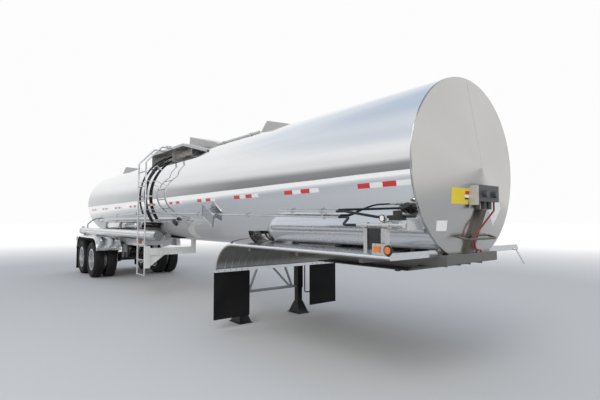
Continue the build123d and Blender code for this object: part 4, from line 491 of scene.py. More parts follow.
def spun_finish(name, base, rough):
    """Satin metal turned about the tank's axis: rings in tone and relief by distance from it, and
    highlights stretched across the rings."""
    mat, tree, bsdf = new_material(name)
    place = add_node(tree, "ShaderNodeTexCoord")
    middle = add_node(tree, "ShaderNodeMapping", {"Location": (0, 0, -TANK_AXIS), "Scale": (0, 1, 1)})
    wire(tree, place.outputs["Object"], middle.inputs["Vector"])
    ring = add_node(tree, "ShaderNodeVectorMath", operation="LENGTH")
    wire(tree, middle.outputs["Vector"], ring.inputs[0])
    rings = add_node(tree, "ShaderNodeTexNoise", {"Scale": 160.0, "Detail": 6.0}, noise_dimensions="1D")
    wire(tree, ring.outputs["Value"], rings.inputs["W"])
    clouds = add_node(tree, "ShaderNodeTexNoise", {"Scale": 2.2, "Detail": 5.0})
    wire(tree, place.outputs["Object"], clouds.inputs["Vector"])
    both = add_node(tree, "ShaderNodeMix", {"Factor": 0.5})
    wire(tree, rings.outputs["Fac"], both.inputs[2])
    wire(tree, clouds.outputs["Fac"], both.inputs[3])
    tones = ramp_node(tree, [(0.3, tuple(c * 0.96 for c in base)), (0.7, tuple(c * 1.04 for c in base))])
    wire(tree, both.outputs[0], tones.inputs["Fac"])
    wire(tree, tones.outputs["Color"], bsdf.inputs["Base Color"])
    spread = add_node(tree, "ShaderNodeMapRange", {"To Min": rough * 0.8, "To Max": rough * 1.2})
    wire(tree, rings.outputs["Fac"], spread.inputs["Value"])
    wire(tree, spread.outputs["Result"], bsdf.inputs["Roughness"])
    bsdf.inputs["Metallic"].default_value = 1.0
    bsdf.inputs["Anisotropic"].default_value = 0.92
    bsdf.inputs["Anisotropic Rotation"].default_value = 0.25
    lay = add_node(tree, "ShaderNodeTangent", direction_type="RADIAL", axis="X")
    wire(tree, lay.outputs["Tangent"], bsdf.inputs["Tangent"])
    relief = add_node(tree, "ShaderNodeBump", {"Strength": 0.01, "Distance": 0.001})
    wire(tree, rings.outputs["Fac"], relief.inputs["Height"])
    wire(tree, relief.outputs["Normal"], bsdf.inputs["Normal"])
    return mat


def on_head(y, z, lift):
    """Points on the front head: the cone falls back evenly with distance from the axis."""
    span = TANK_RADIUS - HEAD_INSET - HEAD_BOSS
    fall = (np.hypot(y, z - TANK_AXIS) - HEAD_BOSS) / span
    return np.stack([TANK_FRONT + HEAD_CONE - (HEAD_CONE - HEAD_RIM) * fall + lift, y, z], -1)


def label_finish(name, colour, rough, tone):
    """Printed film under a thin clear face."""
    return finish(name, colour, rough, 0.0, (25, 25, 25), tone, 0.01, 0.06, coat=0.2)


def head_label(name, middle, half, mat, turn=0.0, lift=LABEL_LIFT):
    """A blank label on the front head: a rectangle of the given half sizes, turned about its middle."""
    wide, tall = (np.linspace(-size, size, LABEL_STEPS) for size in half)
    b, a = np.meshgrid(tall, wide, indexing="ij")
    y = middle[0] + a * math.cos(turn) - b * math.sin(turn)
    z = middle[1] + a * math.sin(turn) + b * math.cos(turn)
    label = thin_plates(name, on_head(y, z, lift)[None], on_head(y, z, LABEL_FOOT)[None])
    fit(label, mat)


dress(spun_finish("spun_head", (0.55, 0.54, 0.525), 0.24), "tank_heads")

weld_run, weld_turn = np.meshgrid(
    np.linspace(*WELD_RUN, WELD_ROWS),
    np.linspace(0, 2 * np.pi, WELD_COLS, endpoint=False),
    indexing="ij",
)
weld_y = WELD_HALF * np.cos(weld_turn)
weld_points = on_head(weld_y, TANK_AXIS + weld_run, WELD_RISE * np.sin(weld_turn))
weld = mesh_piece("head_weld", weld_points, grid_quads(WELD_ROWS, WELD_COLS, wrap=True))
fit(weld, finish("ground_weld", (0.46, 0.46, 0.45), 0.42, 1.0, (60, 60, 60), 0.15))

label_yellow = label_finish("label_yellow", (0.80, 0.60, 0.02), 0.38, 0.05)
label_white = label_finish("label_white", (0.84, 0.84, 0.82), 0.40, 0.04)
label_red = label_finish("label_red", (0.60, 0.02, 0.02), 0.38, 0.05)
label_black = label_finish("label_black", (0.02, 0.02, 0.02), 0.40, 0.1)
head_label("head_label_yellow", (-0.300, 1.852), (0.136, 0.078), label_yellow)
head_label("head_label_red_block", (-0.206, 1.886), (0.033, 0.018), label_red, lift=BLOCK_LIFT)
head_label("head_label_white_block", (-0.206, 1.8525), (0.033, 0.0155), label_white, lift=BLOCK_LIFT)
head_label("head_label_black_block", (-0.206, 1.8285), (0.033, 0.0085), label_black, lift=BLOCK_LIFT)
head_label("head_label_square", (-0.54, 1.56), (0.075, 0.05), label_white)
head_label("head_placard_blank", (0.42, 1.75), (0.137, 0.137), label_white, turn=math.pi / 4)

# Top fittings: rollover guards, spill dam, manway and vents of folded stainless plate, welded to the
# jacket and left as rolled. The plate is duller and dustier than the jacket.
plate_mat = finish("stainless_plate", (0.56, 0.55, 0.54), 0.26, 1.0, (1.5, 22, 22), 0.06, 0.008, 0.25)
dress(plate_mat, "rollover_guards", "manway_collar", "manway_lid", "top_vents")
# Spill dam: a darker brown copy of the same plate, as painted shade and painted reflection of dark ground,
# with more painted shade in dark brown on faces that look down.
dam_shaded_mat = finish(
    "dam_plate_painted_shade", (0.40, 0.37, 0.34), 0.32, 1.0, (1.5, 18, 18), 0.1, 0.01, 0.4,
    dust_and_shade=(0.16, 0.13, 0.11), under_shade=0.4,
)
dress(dam_shaded_mat, "spill_dam")

# Ladder and walkway: aluminium tube and checkered plate, bolted to brackets on the tank.
# Small raised lozenges on the walkway give a grip underfoot.
LOZENGE, LOZENGE_PITCH, LOZENGE_FOOT = (0.016, 0.006, 0.0016), (0.052, 0.026), 0.0006
GRIP_INSET_X, GRIP_INSET_Y, DIAGONAL = (0.04, 0.03), (0.02, 0.012), 0.7071
walk_low, walk_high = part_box("walkway")
WALK_SLOPE_X, WALK_FALL = 0.495, 0.269 / 1.1
# Faces that look down on the ladder and walkway carry painted shade in a dark brown.
ladder_mat = finish(
    "ladder_aluminium", (0.64, 0.65, 0.66), 0.30, 1.0, (24, 24, 5), 0.07, 0.012, 0.25,
    dust_and_shade=(0.2, 0.17, 0.15), under_shade=0.45,
)
dress(ladder_mat, "walkway", "ladder_rails", "ladder_rungs")
lay_x, lay_y = np.meshgrid(
    np.arange(walk_low[0] + GRIP_INSET_X[0], walk_high[0] - GRIP_INSET_X[1], LOZENGE_PITCH[0]),
    np.arange(walk_low[1] + GRIP_INSET_Y[0], walk_high[1] - GRIP_INSET_Y[1], LOZENGE_PITCH[1]),
    indexing="ij",
)
odd_row = np.arange(lay_y.shape[1]) % 2
lay_x = lay_x + LOZENGE_PITCH[0] / 2 * odd_row
tilt = np.where(odd_row == 0, 1.0, -1.0) * np.ones_like(lay_x)
corner_a = np.array([[-1.0, 0.0], [0.0, 1.0]]) * LOZENGE[0]
corner_b = np.array([[0.0, -1.0], [1.0, 0.0]]) * LOZENGE[1]
mid_x, mid_y, tilt = (values.ravel()[:, None, None] for values in (lay_x, lay_y, tilt))
grip_x = mid_x + (corner_a - tilt * corner_b) * DIAGONAL
grip_y = mid_y + (tilt * corner_a + corner_b) * DIAGONAL
grip_z = walk_high[2] - np.maximum(0.0, grip_x - WALK_SLOPE_X) * WALK_FALL
grip_top = np.stack([grip_x, grip_y, grip_z + LOZENGE[2]], -1)
grip_foot = np.stack([grip_x, grip_y, grip_z - LOZENGE_FOOT], -1)
fit(thin_plates("walkway_grip", grip_top, grip_foot), ladder_mat)

# Ladder outrigger: a welded steel box beam that holds the ladder's foot out from the tank.
# It is painted white, and dusty low down.
white_mat = finish("white_paint", (0.74, 0.74, 0.72), 0.38, 0.0, (18, 18, 18), 0.05, 0.03, 0.3, coat=0.15)
dress(white_mat, "ladder_outrigger")

# Air lines and drains: bare stainless pipe held along the flank in welded clips.
# Black rubber hose takes over where a line bends or hangs.
pipe_mat = finish("bare_pipe", (0.66, 0.66, 0.66), 0.18, 1.0, (2, 30, 30), 0.06, 0.008, 0.15)
dress(pipe_mat, "side_pipes", "clips")
hose_mat = finish("hose_rubber", (0.012, 0.012, 0.012), 0.48, 0.0, (90, 90, 90), 0.25, 0.08, 0.08, spec=0.35)
dress(hose_mat, "rubber_hoses")

# Placard holders: aluminium diamonds on posts, one on each flank.
# A raised rim round the face grips a card; both holders are empty.
HOLDER_ANGLE, HOLDER_FACE, HOLDER_STATION = math.radians(-25.5), 0.088, 4.07
HOLDER_CORNER, HOLDER_RIM, HOLDER_DEEP, RIM_SET = 0.2157, 0.020, 0.006, 0.001
holder_mat = finish("holder_aluminium", (0.58, 0.58, 0.58), 0.30, 1.0, (30, 30, 30), 0.08, 0.03, 0.2)
dress(holder_mat, "placard_holders")
rim_reach = np.array([0.0, 0.0, -HOLDER_RIM, -HOLDER_RIM, 0.0]) + HOLDER_CORNER - RIM_SET
rim_lift = np.array([-RIM_SET, HOLDER_DEEP, HOLDER_DEEP, -RIM_SET, -RIM_SET])
for side_name, side in (("right", -1), ("left", 1)):
    out = np.array([0.0, side * math.cos(HOLDER_ANGLE), math.sin(HOLDER_ANGLE)])
    up = np.array([0.0, -side * math.sin(HOLDER_ANGLE), math.cos(HOLDER_ANGLE)])
    corner = np.arange(4) * np.pi / 2
    ray = np.cos(corner)[:, None] * AXES[0] + np.sin(corner)[:, None] * up
    middle = np.array([TANK_FRONT - HOLDER_STATION, 0, TANK_AXIS]) + (TANK_RADIUS + HOLDER_FACE) * out
    rim = middle + rim_reach[:, None, None] * ray + rim_lift[:, None, None] * out
    rim_quads = grid_quads(len(rim_reach), len(corner), wrap=True)
    fit(mesh_piece(f"placard_rim_{side_name}", rim, rim_quads), holder_mat)

# Coupler: the pick-up plate and kingpin are bare steel, black with grease.
# The frame above them and the fender's arms are welded plate left bare.
greasy_mat = finish("greasy_steel", (0.05, 0.046, 0.042), 0.42, 0.5, (20, 20, 20), 0.3, 0.06, 0.3)
dress(greasy_mat, "coupler_plate", "kingpin")
frame_mat = finish("frame_plate", (0.19, 0.185, 0.175), 0.38, 1.0, (5, 45, 45), 0.14, 0.04, 0.4)
dress(frame_mat, "coupler_frame", "fender_arms")

# Front fender: one bright aluminium sheet, rolled over wire at its sides, with pressed swages that run
# down the inside of its quarter-round tail.
fender_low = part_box("front_fender")[0]
SWAGE_CENTRE, SWAGE_RADIUS, SWAGE_SWEEP = (3.605, 0.777), 0.513, math.radians(76.0)
SWAGE_HALF, SWAGE_DEEP, SWAGE_PITCH, SWAGE_START = 0.014, 0.006, 0.115, 0.02
SWAGES, SWAGE_ROWS, SWAGE_COLS = 19, 28, 8
# Faces that look down on the fenders carry strong painted shade and painted reflection of dark ground, in a
# dark brown.
fender_mat = finish(
    "fender_aluminium", (0.80, 0.81, 0.82), 0.14, 1.0, (1.5, 16, 16), 0.05, 0.01, 0.14,
    dust_and_shade=(0.16, 0.145, 0.125), under_shade=0.8,
)
dress(fender_mat, "front_fender", "rear_fenders")
swage_y = (np.arange(SWAGES) - SWAGES // 2) * SWAGE_PITCH
arc = math.pi / 2 + np.linspace(SWAGE_START, SWAGE_SWEEP, SWAGE_ROWS)
section = np.linspace(0, 2 * np.pi, SWAGE_COLS, endpoint=False)
swage_r = SWAGE_RADIUS + SWAGE_DEEP * np.sin(section)
swage_x = SWAGE_CENTRE[0] + np.cos(arc)[:, None] * swage_r
swage_z = SWAGE_CENTRE[1] + np.sin(arc)[:, None] * swage_r
swage_wide = np.zeros_like(swage_x) + SWAGE_HALF * np.cos(section)
swage_grid = (SWAGES, SWAGE_ROWS, SWAGE_COLS)
swages = np.stack(
    [
        np.broadcast_to(swage_x, swage_grid),
        swage_y[:, None, None] + swage_wide,
        np.broadcast_to(swage_z, swage_grid),
    ],
    -1,
)
swage_quads = grid_quads(SWAGE_ROWS, SWAGE_COLS, wrap=True)
swage_shift = np.arange(SWAGES) * SWAGE_ROWS * SWAGE_COLS
swage_all = (swage_quads[None] + swage_shift[:, None, None]).reshape(-1, 4)
fit(mesh_piece("fender_swages", swages, swage_all), fender_mat)

# Mud flaps: ribbed black rubber sheets, bolted along the top through a steel bar.
# The bolts are plain hexagon heads.
flap_mat = finish("flap_rubber", (0.007, 0.007, 0.008), 0.6, 0.0, (3, 150, 5), 0.3, 0.25, 0.03, spec=0.15)
dress(flap_mat, "mud_flaps")
bolt_mat = finish("zinc_bolt", (0.52, 0.52, 0.50), 0.34, 1.0, (60, 60, 60), 0.15, 0.05, 0.3)
HEX_RADIUS = np.array([0.0, 1.0, 1.0, 0.86, 0.0])
HEX_RISE = np.array([0.0, 0.0, 0.55, 0.65, 0.65])
HEX_SIDES = 6
FLAP_BOLT, FLAP_BOLT_Y, FLAP_BOLTS = 0.011, (0.66, 1.16), 6
BAR_FACE, BAR_MIDDLE = 0.0378, 0.02


def hex_bolts(name, centres, size):
    """Hexagon bolt heads of one size at many centres, their tops facing forward."""
    bolts = turned_rings(name, centres, 0, HEX_RADIUS * size, HEX_RISE * size, HEX_SIDES)
    fit(bolts, bolt_mat)


bolt_row = np.linspace(*FLAP_BOLT_Y, FLAP_BOLTS)
flap_y = np.concatenate([-bolt_row, bolt_row])
bar_x = np.full_like(flap_y, fender_low[0] + BAR_FACE)
bar_z = np.full_like(flap_y, fender_low[2] + BAR_MIDDLE)
hex_bolts("flap_bolts", np.stack([bar_x, flap_y, bar_z], -1), FLAP_BOLT)

# Landing gear: square steel legs and shoes painted black, grey tube braces and stainless mount plates.
# Bolts through the mount plates hold the legs.
MOUNT_BOLT, MOUNT_BOLT_Y, MOUNT_BOLT_Z = 0.014, (-0.62, -0.56, 0.56, 0.62), (1.09, 1.15)
black_mat = finish(
    "black_paint", (0.009, 0.009, 0.010), 0.36, 0.0, (22, 22, 22), 0.25, 0.04, 0.06, coat=0.05, spec=0.3
)
dress(black_mat, "landing_legs", "landing_feet", "landing_crank")
grey_mat = finish("grey_paint", (0.30, 0.31, 0.32), 0.40, 0.3, (22, 22, 22), 0.1, 0.04, 0.2)
dress(grey_mat, "landing_braces")
dress(plate_mat, "leg_mounts")
mount_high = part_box("leg_mounts")[1]
mount_y, mount_z = np.meshgrid(MOUNT_BOLT_Y, MOUNT_BOLT_Z, indexing="ij")
mount_x = np.full_like(mount_y, mount_high[0])
hex_bolts("mount_bolts", np.stack([mount_x, mount_y, mount_z], -1).reshape(-1, 3), MOUNT_BOLT)

# Lamps at the front: a round amber lamp in a black rubber grommet and a moulded amber reflector, both on
# the aluminium lamp plate; boxy amber markers hang under the hose tubes.
bracket_mat = finish("bracket_aluminium", (0.62, 0.62, 0.62), 0.28, 1.0, (40, 40, 10), 0.08, 0.03, 0.15)
dress(bracket_mat, "front_brackets")


def lens_finish(name, colour):
    """Moulded lens: ribs in tone and relief under a clear gloss face."""
    mat, tree, bsdf = new_material(name)
    place = add_node(tree, "ShaderNodeTexCoord")
    prisms = add_node(tree, "ShaderNodeTexVoronoi", {"Scale": 150.0})
    wire(tree, place.outputs["Object"], prisms.inputs["Vector"])
    light = tuple(min(1.0, c * 1.2) for c in colour)
    dark = tuple(c * 0.6 for c in colour)
    tones = ramp_node(tree, [(0.0, light), (0.8, dark)])
    wire(tree, prisms.outputs["Distance"], tones.inputs["Fac"])
    wire(tree, tones.outputs["Color"], bsdf.inputs["Base Color"])
    relief = add_node(tree, "ShaderNodeBump", {"Strength": 0.3, "Distance": 0.001})
    wire(tree, prisms.outputs["Distance"], relief.inputs["Height"])
    wire(tree, relief.outputs["Normal"], bsdf.inputs["Normal"])
    bsdf.inputs["Roughness"].default_value = 0.2
    bsdf.inputs["Coat Weight"].default_value = 0.8
    return mat


amber_lens = lens_finish("amber_lens", (0.88, 0.20, 0.008))
red_lens = lens_finish("red_lens", (0.42, 0.008, 0.008))
dress(amber_lens, "amber_lamps")
LAMP_AT, LAMP_PROUD, GROMMET_STEPS = (TANK_FRONT - 0.062, 1.347), 0.0173, 48
GROMMET_RADIUS = np.array([0.0335, 0.0335, 0.0400, 0.0465, 0.0470, 0.0470, 0.0335])
GROMMET_RISE = np.array([0.0, 0.0125, 0.0140, 0.0120, 0.0080, 0.0, 0.0])
lamp_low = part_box("amber_lamps")[0]
plate_y = lamp_low[1] + LAMP_PROUD
grommet_at = [(LAMP_AT[0], plate_y, LAMP_AT[1])]
grommet = turned_rings("lamp_grommet", grommet_at, 1, GROMMET_RADIUS, -GROMMET_RISE, GROMMET_STEPS)
grommet_mat = finish("grommet_rubber", (0.014, 0.014, 0.014), 0.5, 0.0, (80, 80, 80), 0.2, 0.05, 0.08)
fit(grommet, grommet_mat)

REFLECTOR_AT, REFLECTOR_HALF, REFLECTOR_DEEP = (TANK_FRONT - 0.192, 1.352), (0.041, 0.029), 0.009
REFLECTOR_FLAT, REFLECTOR_EDGE, REFLECTOR_BACK = 0.9, 0.003, 0.0001
edge = np.array([-1.0, -REFLECTOR_FLAT, REFLECTOR_FLAT, 1.0])
cell_z, cell_x = np.meshgrid(edge, edge, indexing="ij")
crown = np.minimum(1.0, (1.0 - np.maximum(abs(cell_x), abs(cell_z))) / (1.0 - REFLECTOR_FLAT))
face_x = REFLECTOR_AT[0] + cell_x * REFLECTOR_HALF[0]
face_z = REFLECTOR_AT[1] + cell_z * REFLECTOR_HALF[1]
face_y = plate_y - REFLECTOR_EDGE - crown * (REFLECTOR_DEEP - REFLECTOR_EDGE)
face = np.stack([face_x, face_y, face_z], -1)
back = np.stack([face_x, np.full_like(face_x, plate_y - REFLECTOR_BACK), face_z], -1)
fit(thin_plates("amber_reflector", face[None], back[None]), amber_lens)

# Air valves: plated fittings and a pressure gauge on the stand, black moulded valve housings.
# The gauge has a plain white face in a black bezel.
plated_mat = finish("plated_fittings", (0.68, 0.67, 0.64), 0.20, 1.0, (30, 30, 30), 0.08, 0.03, 0.15)
dress(plated_mat, "front_valves")
housing_mat = finish("black_housing", (0.016, 0.016, 0.017), 0.42, 0.0, (60, 60, 60), 0.2, 0.06, 0.12)
dress(housing_mat, "valve_bodies")
valve_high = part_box("front_valves")[1]
GAUGE_AT, GAUGE_STEPS = (TANK_FRONT - 0.2, -1.12, valve_high[2] - 0.032), 40
DIAL_RADIUS = np.array([0.0, 0.027, 0.027, 0.0])
DIAL_RISE = np.array([0.0008, 0.0008, -0.0004, -0.0004])
dial = turned_rings("gauge_dial", [GAUGE_AT], 1, DIAL_RADIUS, -DIAL_RISE, GAUGE_STEPS)
dial_mat = finish("gauge_face", (0.82, 0.82, 0.80), 0.35, 0.0, (40, 40, 40), 0.03, 0.01, 0.03, coat=0.5)
fit(dial, dial_mat)
BEZEL_RADIUS = np.array([0.0262, 0.0262, 0.0300, 0.0325, 0.0325, 0.0262])
BEZEL_RISE = np.array([0.0, 0.0030, 0.0040, 0.0025, -0.0060, -0.0060])
bezel = turned_rings("gauge_bezel", [GAUGE_AT], 1, BEZEL_RADIUS, -BEZEL_RISE, GAUGE_STEPS)
fit(bezel, housing_mat)

# Connection box on the front head: dark painted box with a bright sheet on its curb side, a slanting
# channel below it for the hoses, a rod hoop, and the red air line.
box_mat = finish("dark_box", (0.075, 0.075, 0.082), 0.42, 0.2, (30, 30, 30), 0.12, 0.04, 0.12)
dress(box_mat, "connection_box")
channel_mat = finish(
    "channel_steel", (0.14, 0.125, 0.11), 0.42, 0.7, (30, 30, 8), 0.2, 0.06, 0.25, dust_and_shade=(0.20, 0.14, 0.09)
)
dress(channel_mat, "hose_channel")
red_hose_mat = finish("red_hose", (0.27, 0.010, 0.012), 0.36, 0.0, (70, 70, 70), 0.12, 0.03, 0.06)
dress(red_hose_mat, "air_line")
box_low, box_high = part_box("connection_box")
SIDE_SHEET_X = (TANK_FRONT + 0.118, TANK_FRONT + 0.222)
SIDE_SHEET_Z = (box_low[2] + 0.040, box_high[2] - 0.003)
SHEET_PROUD, SHEET_FOOT = 0.0012, 0.0004
sheet_z, sheet_x = np.meshgrid(SIDE_SHEET_Z, SIDE_SHEET_X, indexing="ij")
sheet_out = np.stack([sheet_x, np.full_like(sheet_x, box_low[1] - SHEET_PROUD), sheet_z], -1)
sheet_in = np.stack([sheet_x, np.full_like(sheet_x, box_low[1] + SHEET_FOOT), sheet_z], -1)
sheet_mat = finish("side_sheet", (0.60, 0.60, 0.60), 0.50, 0.8, (30, 30, 12), 0.1, 0.03, 0.15)
fit(thin_plates("box_side_sheet", sheet_out[None], sheet_in[None]), sheet_mat)

# Hose spring: a coil of plated wire on an eye at the fender's far corner.
# The coil is a helix about the line from its eye to its tip.
COIL_TURNS, COIL_RADIUS, COIL_WIRE = 26, 0.0072, 0.0021
COIL_STEPS, COIL_SIDES, EYE_STEPS = 14, 6, 24
EYE_RADIUS = np.array([0.004, 0.012, 0.012, 0.010, 0.004])
EYE_RISE = np.array([0.0004, 0.0004, 0.021, 0.0239, 0.0239])
spring_low, spring_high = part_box("hose_spring")
coil_top = np.array([TANK_FRONT - 0.021, spring_high[1] - 0.012, spring_high[2] - 0.016])
coil_tip = np.array([spring_high[0] - 0.007, spring_low[1] + 0.008, spring_low[2] + 0.006])
line = coil_tip - coil_top
line_way = line / np.linalg.norm(line)
coil_u = np.cross(line_way, AXES[1])
coil_u = coil_u / np.linalg.norm(coil_u)
coil_v = np.cross(line_way, coil_u)
run = np.linspace(0, 1, COIL_TURNS * COIL_STEPS)
wind = run * COIL_TURNS * 2 * np.pi
spoke = np.cos(wind)[:, None] * coil_u + np.sin(wind)[:, None] * coil_v
coil_path = coil_top + run[:, None] * line + COIL_RADIUS * spoke
ring = np.linspace(0, 2 * np.pi, COIL_SIDES, endpoint=False)
wire_round = np.cos(ring)[None, :, None] * spoke[:, None, :] + np.sin(ring)[None, :, None] * line_way
coil_points = coil_path[:, None, :] + COIL_WIRE * wire_round
coil = mesh_piece("spring_coil", coil_points, grid_quads(len(run), COIL_SIDES, wrap=True))
eye_at = [(TANK_FRONT - 0.035, coil_top[1], spring_high[2] - 0.012)]
eye = turned_rings("spring_eye", eye_at, 0, EYE_RADIUS, EYE_RISE, EYE_STEPS)
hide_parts("hose_spring")
fit(coil, plated_mat)
fit(eye, plated_mat)

# Rear frame and suspension: stainless box rails and saddles, painted arms and hangers, rubber air springs
# and black axles with their brake chambers.
rail_mat = finish("rail_stainless", (0.52, 0.52, 0.51), 0.30, 1.0, (2, 24, 24), 0.1, 0.012, 0.4)
dress(rail_mat, "frame_rails", "frame_saddles", "rear_fender_arms", "tube_cradles")
chassis_mat = finish("chassis_black", (0.022, 0.022, 0.023), 0.45, 0.0, (18, 18, 18), 0.25, 0.05, 0.5)
dress(chassis_mat, "trailing_arms", "axles")
dress(grey_mat, "hangers")
spring_mat = finish("air_spring_rubber", (0.020, 0.020, 0.020), 0.5, 0.0, (15, 15, 120), 0.25, 0.1, 0.4)
dress(spring_mat, "air_springs")

# Wheels: forged aluminium discs, bolted in pairs to each hub and polished bright.
# Ten nuts hold a pair, and eight small bolts hold the hub's cap.
WHEEL_NODES = ("front_right", "front_left", "rear_right", "rear_left")
AXLE_Z, WHEEL_MID = 0.509, 0.9082
DISC_FACE, HUB_FACE = WHEEL_MID + 0.014, WHEEL_MID + 0.175
NUTS, NUT_CIRCLE, NUT_RADIUS = 10, 0.1425, 0.0165
HUB_BOLTS, HUB_CIRCLE, HUB_BOLT, CLOCK_START = 8, 0.097, 0.0085, 0.1
NUT_PROFILE = np.array([0.0, 1.15, 1.15, 1.0, 1.0, 0.78, 0.60, 0.60, 0.0])
NUT_RISE = np.array([0.0, 0.0, 0.12, 0.20, 1.35, 1.60, 1.60, 2.10, 2.20])
wheel_mat = finish("forged_wheel", (0.88, 0.88, 0.89), 0.34, 1.0, (14, 14, 14), 0.03, 0.006, 0.06)
nut_mat = finish("wheel_nut", (0.62, 0.62, 0.61), 0.24, 1.0, (60, 60, 60), 0.1, 0.03, 0.25)
for name in WHEEL_NODES:
    dress(wheel_mat, f"wheel_{name}")
    low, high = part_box(f"wheel_{name}")
    axle_x, out = (low[0] + high[0]) / 2, math.copysign(1.0, low[1])
    for piece_name, count, circle, size, face_y in (
        ("nuts", NUTS, NUT_CIRCLE, NUT_RADIUS, DISC_FACE),
        ("hub_bolts", HUB_BOLTS, HUB_CIRCLE, HUB_BOLT, HUB_FACE),
    ):
        clock = np.arange(count) * 2 * np.pi / count + CLOCK_START
        clock_x = axle_x + circle * np.cos(clock)
        clock_z = AXLE_Z + circle * np.sin(clock)
        centres = np.stack([clock_x, np.full(count, out * face_y), clock_z], -1)
        profile, rise = NUT_PROFILE * size, out * NUT_RISE * size
        nuts = turned_rings(f"{piece_name}_{name}", centres, 1, profile, rise, HEX_SIDES)
        fit(nuts, nut_mat, f"dual_{name}")

# Tyres: two to a wheel, radial tyres with four grooves round the tread, cut shoulders and rings on the wall.
# The rubber is black with a little dust in the tread.
TYRE_RADIUS, TYRE_HALF, TREAD_HALF, TREAD_DROP = 0.509, 0.1392, 0.112, 0.014
BEAD_HALF, BEAD_RADIUS, TOE_RADIUS, WALL_RADIUS = 0.104, 0.2863, 0.3073, 0.3868
GROOVES, GROOVE_HALF, GROOVE_DEEP = (-0.066, -0.022, 0.022, 0.066), 0.0048, 0.010
GROOVE_LIPS, GROOVE_WALL = (-1.25, -1.0, 0.0, 1.0, 1.25), 1.1
LANDS = (0.044, 0.079, 0.081, 0.088, 0.096, 0.104)
LUGS, LUG_COLS, LUG_EDGE, LUG_DEEP, LUG_TALL = 48, 4, 0.080, 0.009, 0.012
WALL_STEPS, WALL_RINGS, RING_HALF, RING_DEEP = 16, (0.335, 0.372, 0.452), 0.006, 0.0016
TYRE_MIDS = (1.0797, 0.7367)


def arc_through(a, b, c, count):
    """Points along the circle through three points, from the first to the last by way of the second:
    the circle's middle lies where the chords' perpendicular bisectors meet."""
    (ax, ay), (bx, by), (cx, cy) = a, b, c
    twice = 2 * (ax * (by - cy) + bx * (cy - ay) + cx * (ay - by))
    sq = ax * ax + ay * ay, bx * bx + by * by, cx * cx + cy * cy
    mx = (sq[0] * (by - cy) + sq[1] * (cy - ay) + sq[2] * (ay - by)) / twice
    my = (sq[0] * (cx - bx) + sq[1] * (ax - cx) + sq[2] * (bx - ax)) / twice
    angles = np.unwrap([math.atan2(y - my, x - mx) for x, y in (a, b, c)])
    turn = np.linspace(angles[0], angles[2], count)
    reach = math.hypot(ax - mx, ay - my)
    return mx + reach * np.cos(turn), my + reach * np.sin(turn)


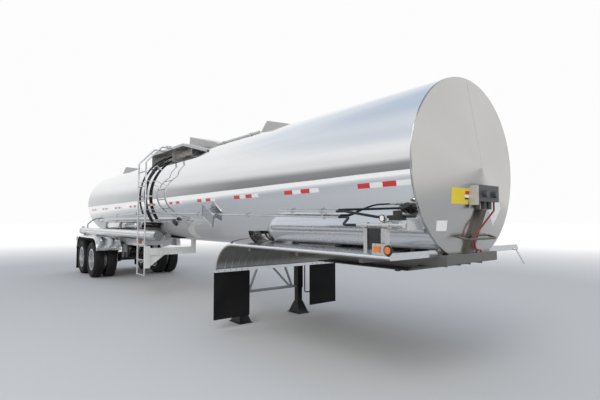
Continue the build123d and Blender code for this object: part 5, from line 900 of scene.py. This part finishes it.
def tyre_grid(mid, axle_x):
    """A tyre as a closed profile carried round the axle: walls by arcs, tread by an arc less its
    grooves, shoulder cuts on every fourth column."""
    shoulder = TYRE_RADIUS - TREAD_DROP
    toe, widest, edge = (BEAD_HALF, TOE_RADIUS), (TYRE_HALF, WALL_RADIUS), (TREAD_HALF, shoulder)
    wall_y, wall_r = arc_through(toe, widest, edge, WALL_STEPS)
    ring = np.exp(-(((wall_r[:, None] - np.array(WALL_RINGS)) / RING_HALF) ** 2)).sum(1)
    wall_y = wall_y - RING_DEEP * ring
    lips = np.array(GROOVES)[:, None] + np.array(GROOVE_LIPS) * GROOVE_HALF
    lands = np.array(LANDS)
    tread_y = np.sort(np.concatenate([lips.ravel(), -lands, [0.0], lands]))[::-1]
    crown_r = (TREAD_HALF**2 + TREAD_DROP**2) / (2 * TREAD_DROP)
    tread_r = TYRE_RADIUS - crown_r + np.sqrt(crown_r**2 - tread_y**2)
    nearest = np.abs(tread_y[:, None] - np.array(GROOVES)).min(1)
    tread_r = tread_r - GROOVE_DEEP * (nearest < GROOVE_HALF * GROOVE_WALL)
    y = np.concatenate([[BEAD_HALF], wall_y, tread_y, -wall_y[::-1], [-BEAD_HALF], [BEAD_HALF]])
    r = np.concatenate([[BEAD_RADIUS], wall_r, tread_r, wall_r[::-1], [BEAD_RADIUS], [BEAD_RADIUS]])
    turn = np.linspace(0, 2 * np.pi, LUGS * LUG_COLS, endpoint=False)
    cut = (np.arange(LUGS * LUG_COLS) % LUG_COLS == 0) * LUG_DEEP
    on_shoulder = ((np.abs(y) > LUG_EDGE) & (r > shoulder - LUG_TALL)).astype(float)
    reach = r[:, None] - on_shoulder[:, None] * cut
    across = np.broadcast_to(y[:, None], reach.shape)
    return np.stack([axle_x + reach * np.cos(turn), mid + across, AXLE_Z + reach * np.sin(turn)], -1)


tyre_mat = finish("tyre_rubber", (0.010, 0.010, 0.010), 0.6, 0.0, (45, 45, 45), 0.3, 0.06, 0.06, spec=0.25)
for name in WHEEL_NODES:
    low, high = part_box(f"wheel_{name}")
    axle_x, out = (low[0] + high[0]) / 2, math.copysign(1.0, low[1])
    grids = [tyre_grid(out * mid, axle_x) for mid in TYRE_MIDS]
    rows, cols = grids[0].shape[:2]
    quads = grid_quads(rows, cols, wrap=True)
    both_quads = np.concatenate([quads, quads + rows * cols])
    tyres = mesh_piece(f"treaded_tyres_{name}", np.concatenate(grids), both_quads)
    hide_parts(f"tyres_{name}")
    fit(tyres, tyre_mat, f"dual_{name}")

# Rear end: bumper and lamp boards of aluminium, red lamps in rubber grommets, and the stainless outlet
# with its valve.
dress(bracket_mat, "bumper")
dress(red_lens, "tail_lamps")
dress(plate_mat, "outlet")
TAIL_LAMP_Y, TAIL_LAMP_Z, TAIL_PROUD, TAIL_STEPS = (0.7202, 0.8602, 1.0002), 1.05, 0.022, 40
TAIL_RADIUS = np.array([0.0525, 0.0525, 0.0560, 0.0610, 0.0610, 0.0525])
TAIL_RISE = np.array([0.0, 0.013, 0.015, 0.011, 0.0, 0.0])
tail_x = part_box("tail_lamps")[0][0] + TAIL_PROUD
tail_at = [(tail_x, s * y, TAIL_LAMP_Z) for s in (-1, 1) for y in TAIL_LAMP_Y]
tail_grommets = turned_rings("tail_grommets", tail_at, 0, TAIL_RADIUS, -TAIL_RISE, TAIL_STEPS)
fit(tail_grommets, grommet_mat)

# Hose tubes: drawn aluminium tube in welded cradles, one low on each side along the tank's rear half.
# Each is capped in front and has a hinged door behind.
tube_mat = finish("tube_aluminium", (0.72, 0.73, 0.74), 0.20, 1.0, (1.5, 24, 24), 0.06, 0.01, 0.2)
dress(tube_mat, "hose_tubes")
dress(bracket_mat, "tube_door_right", "tube_door_left")

low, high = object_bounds()
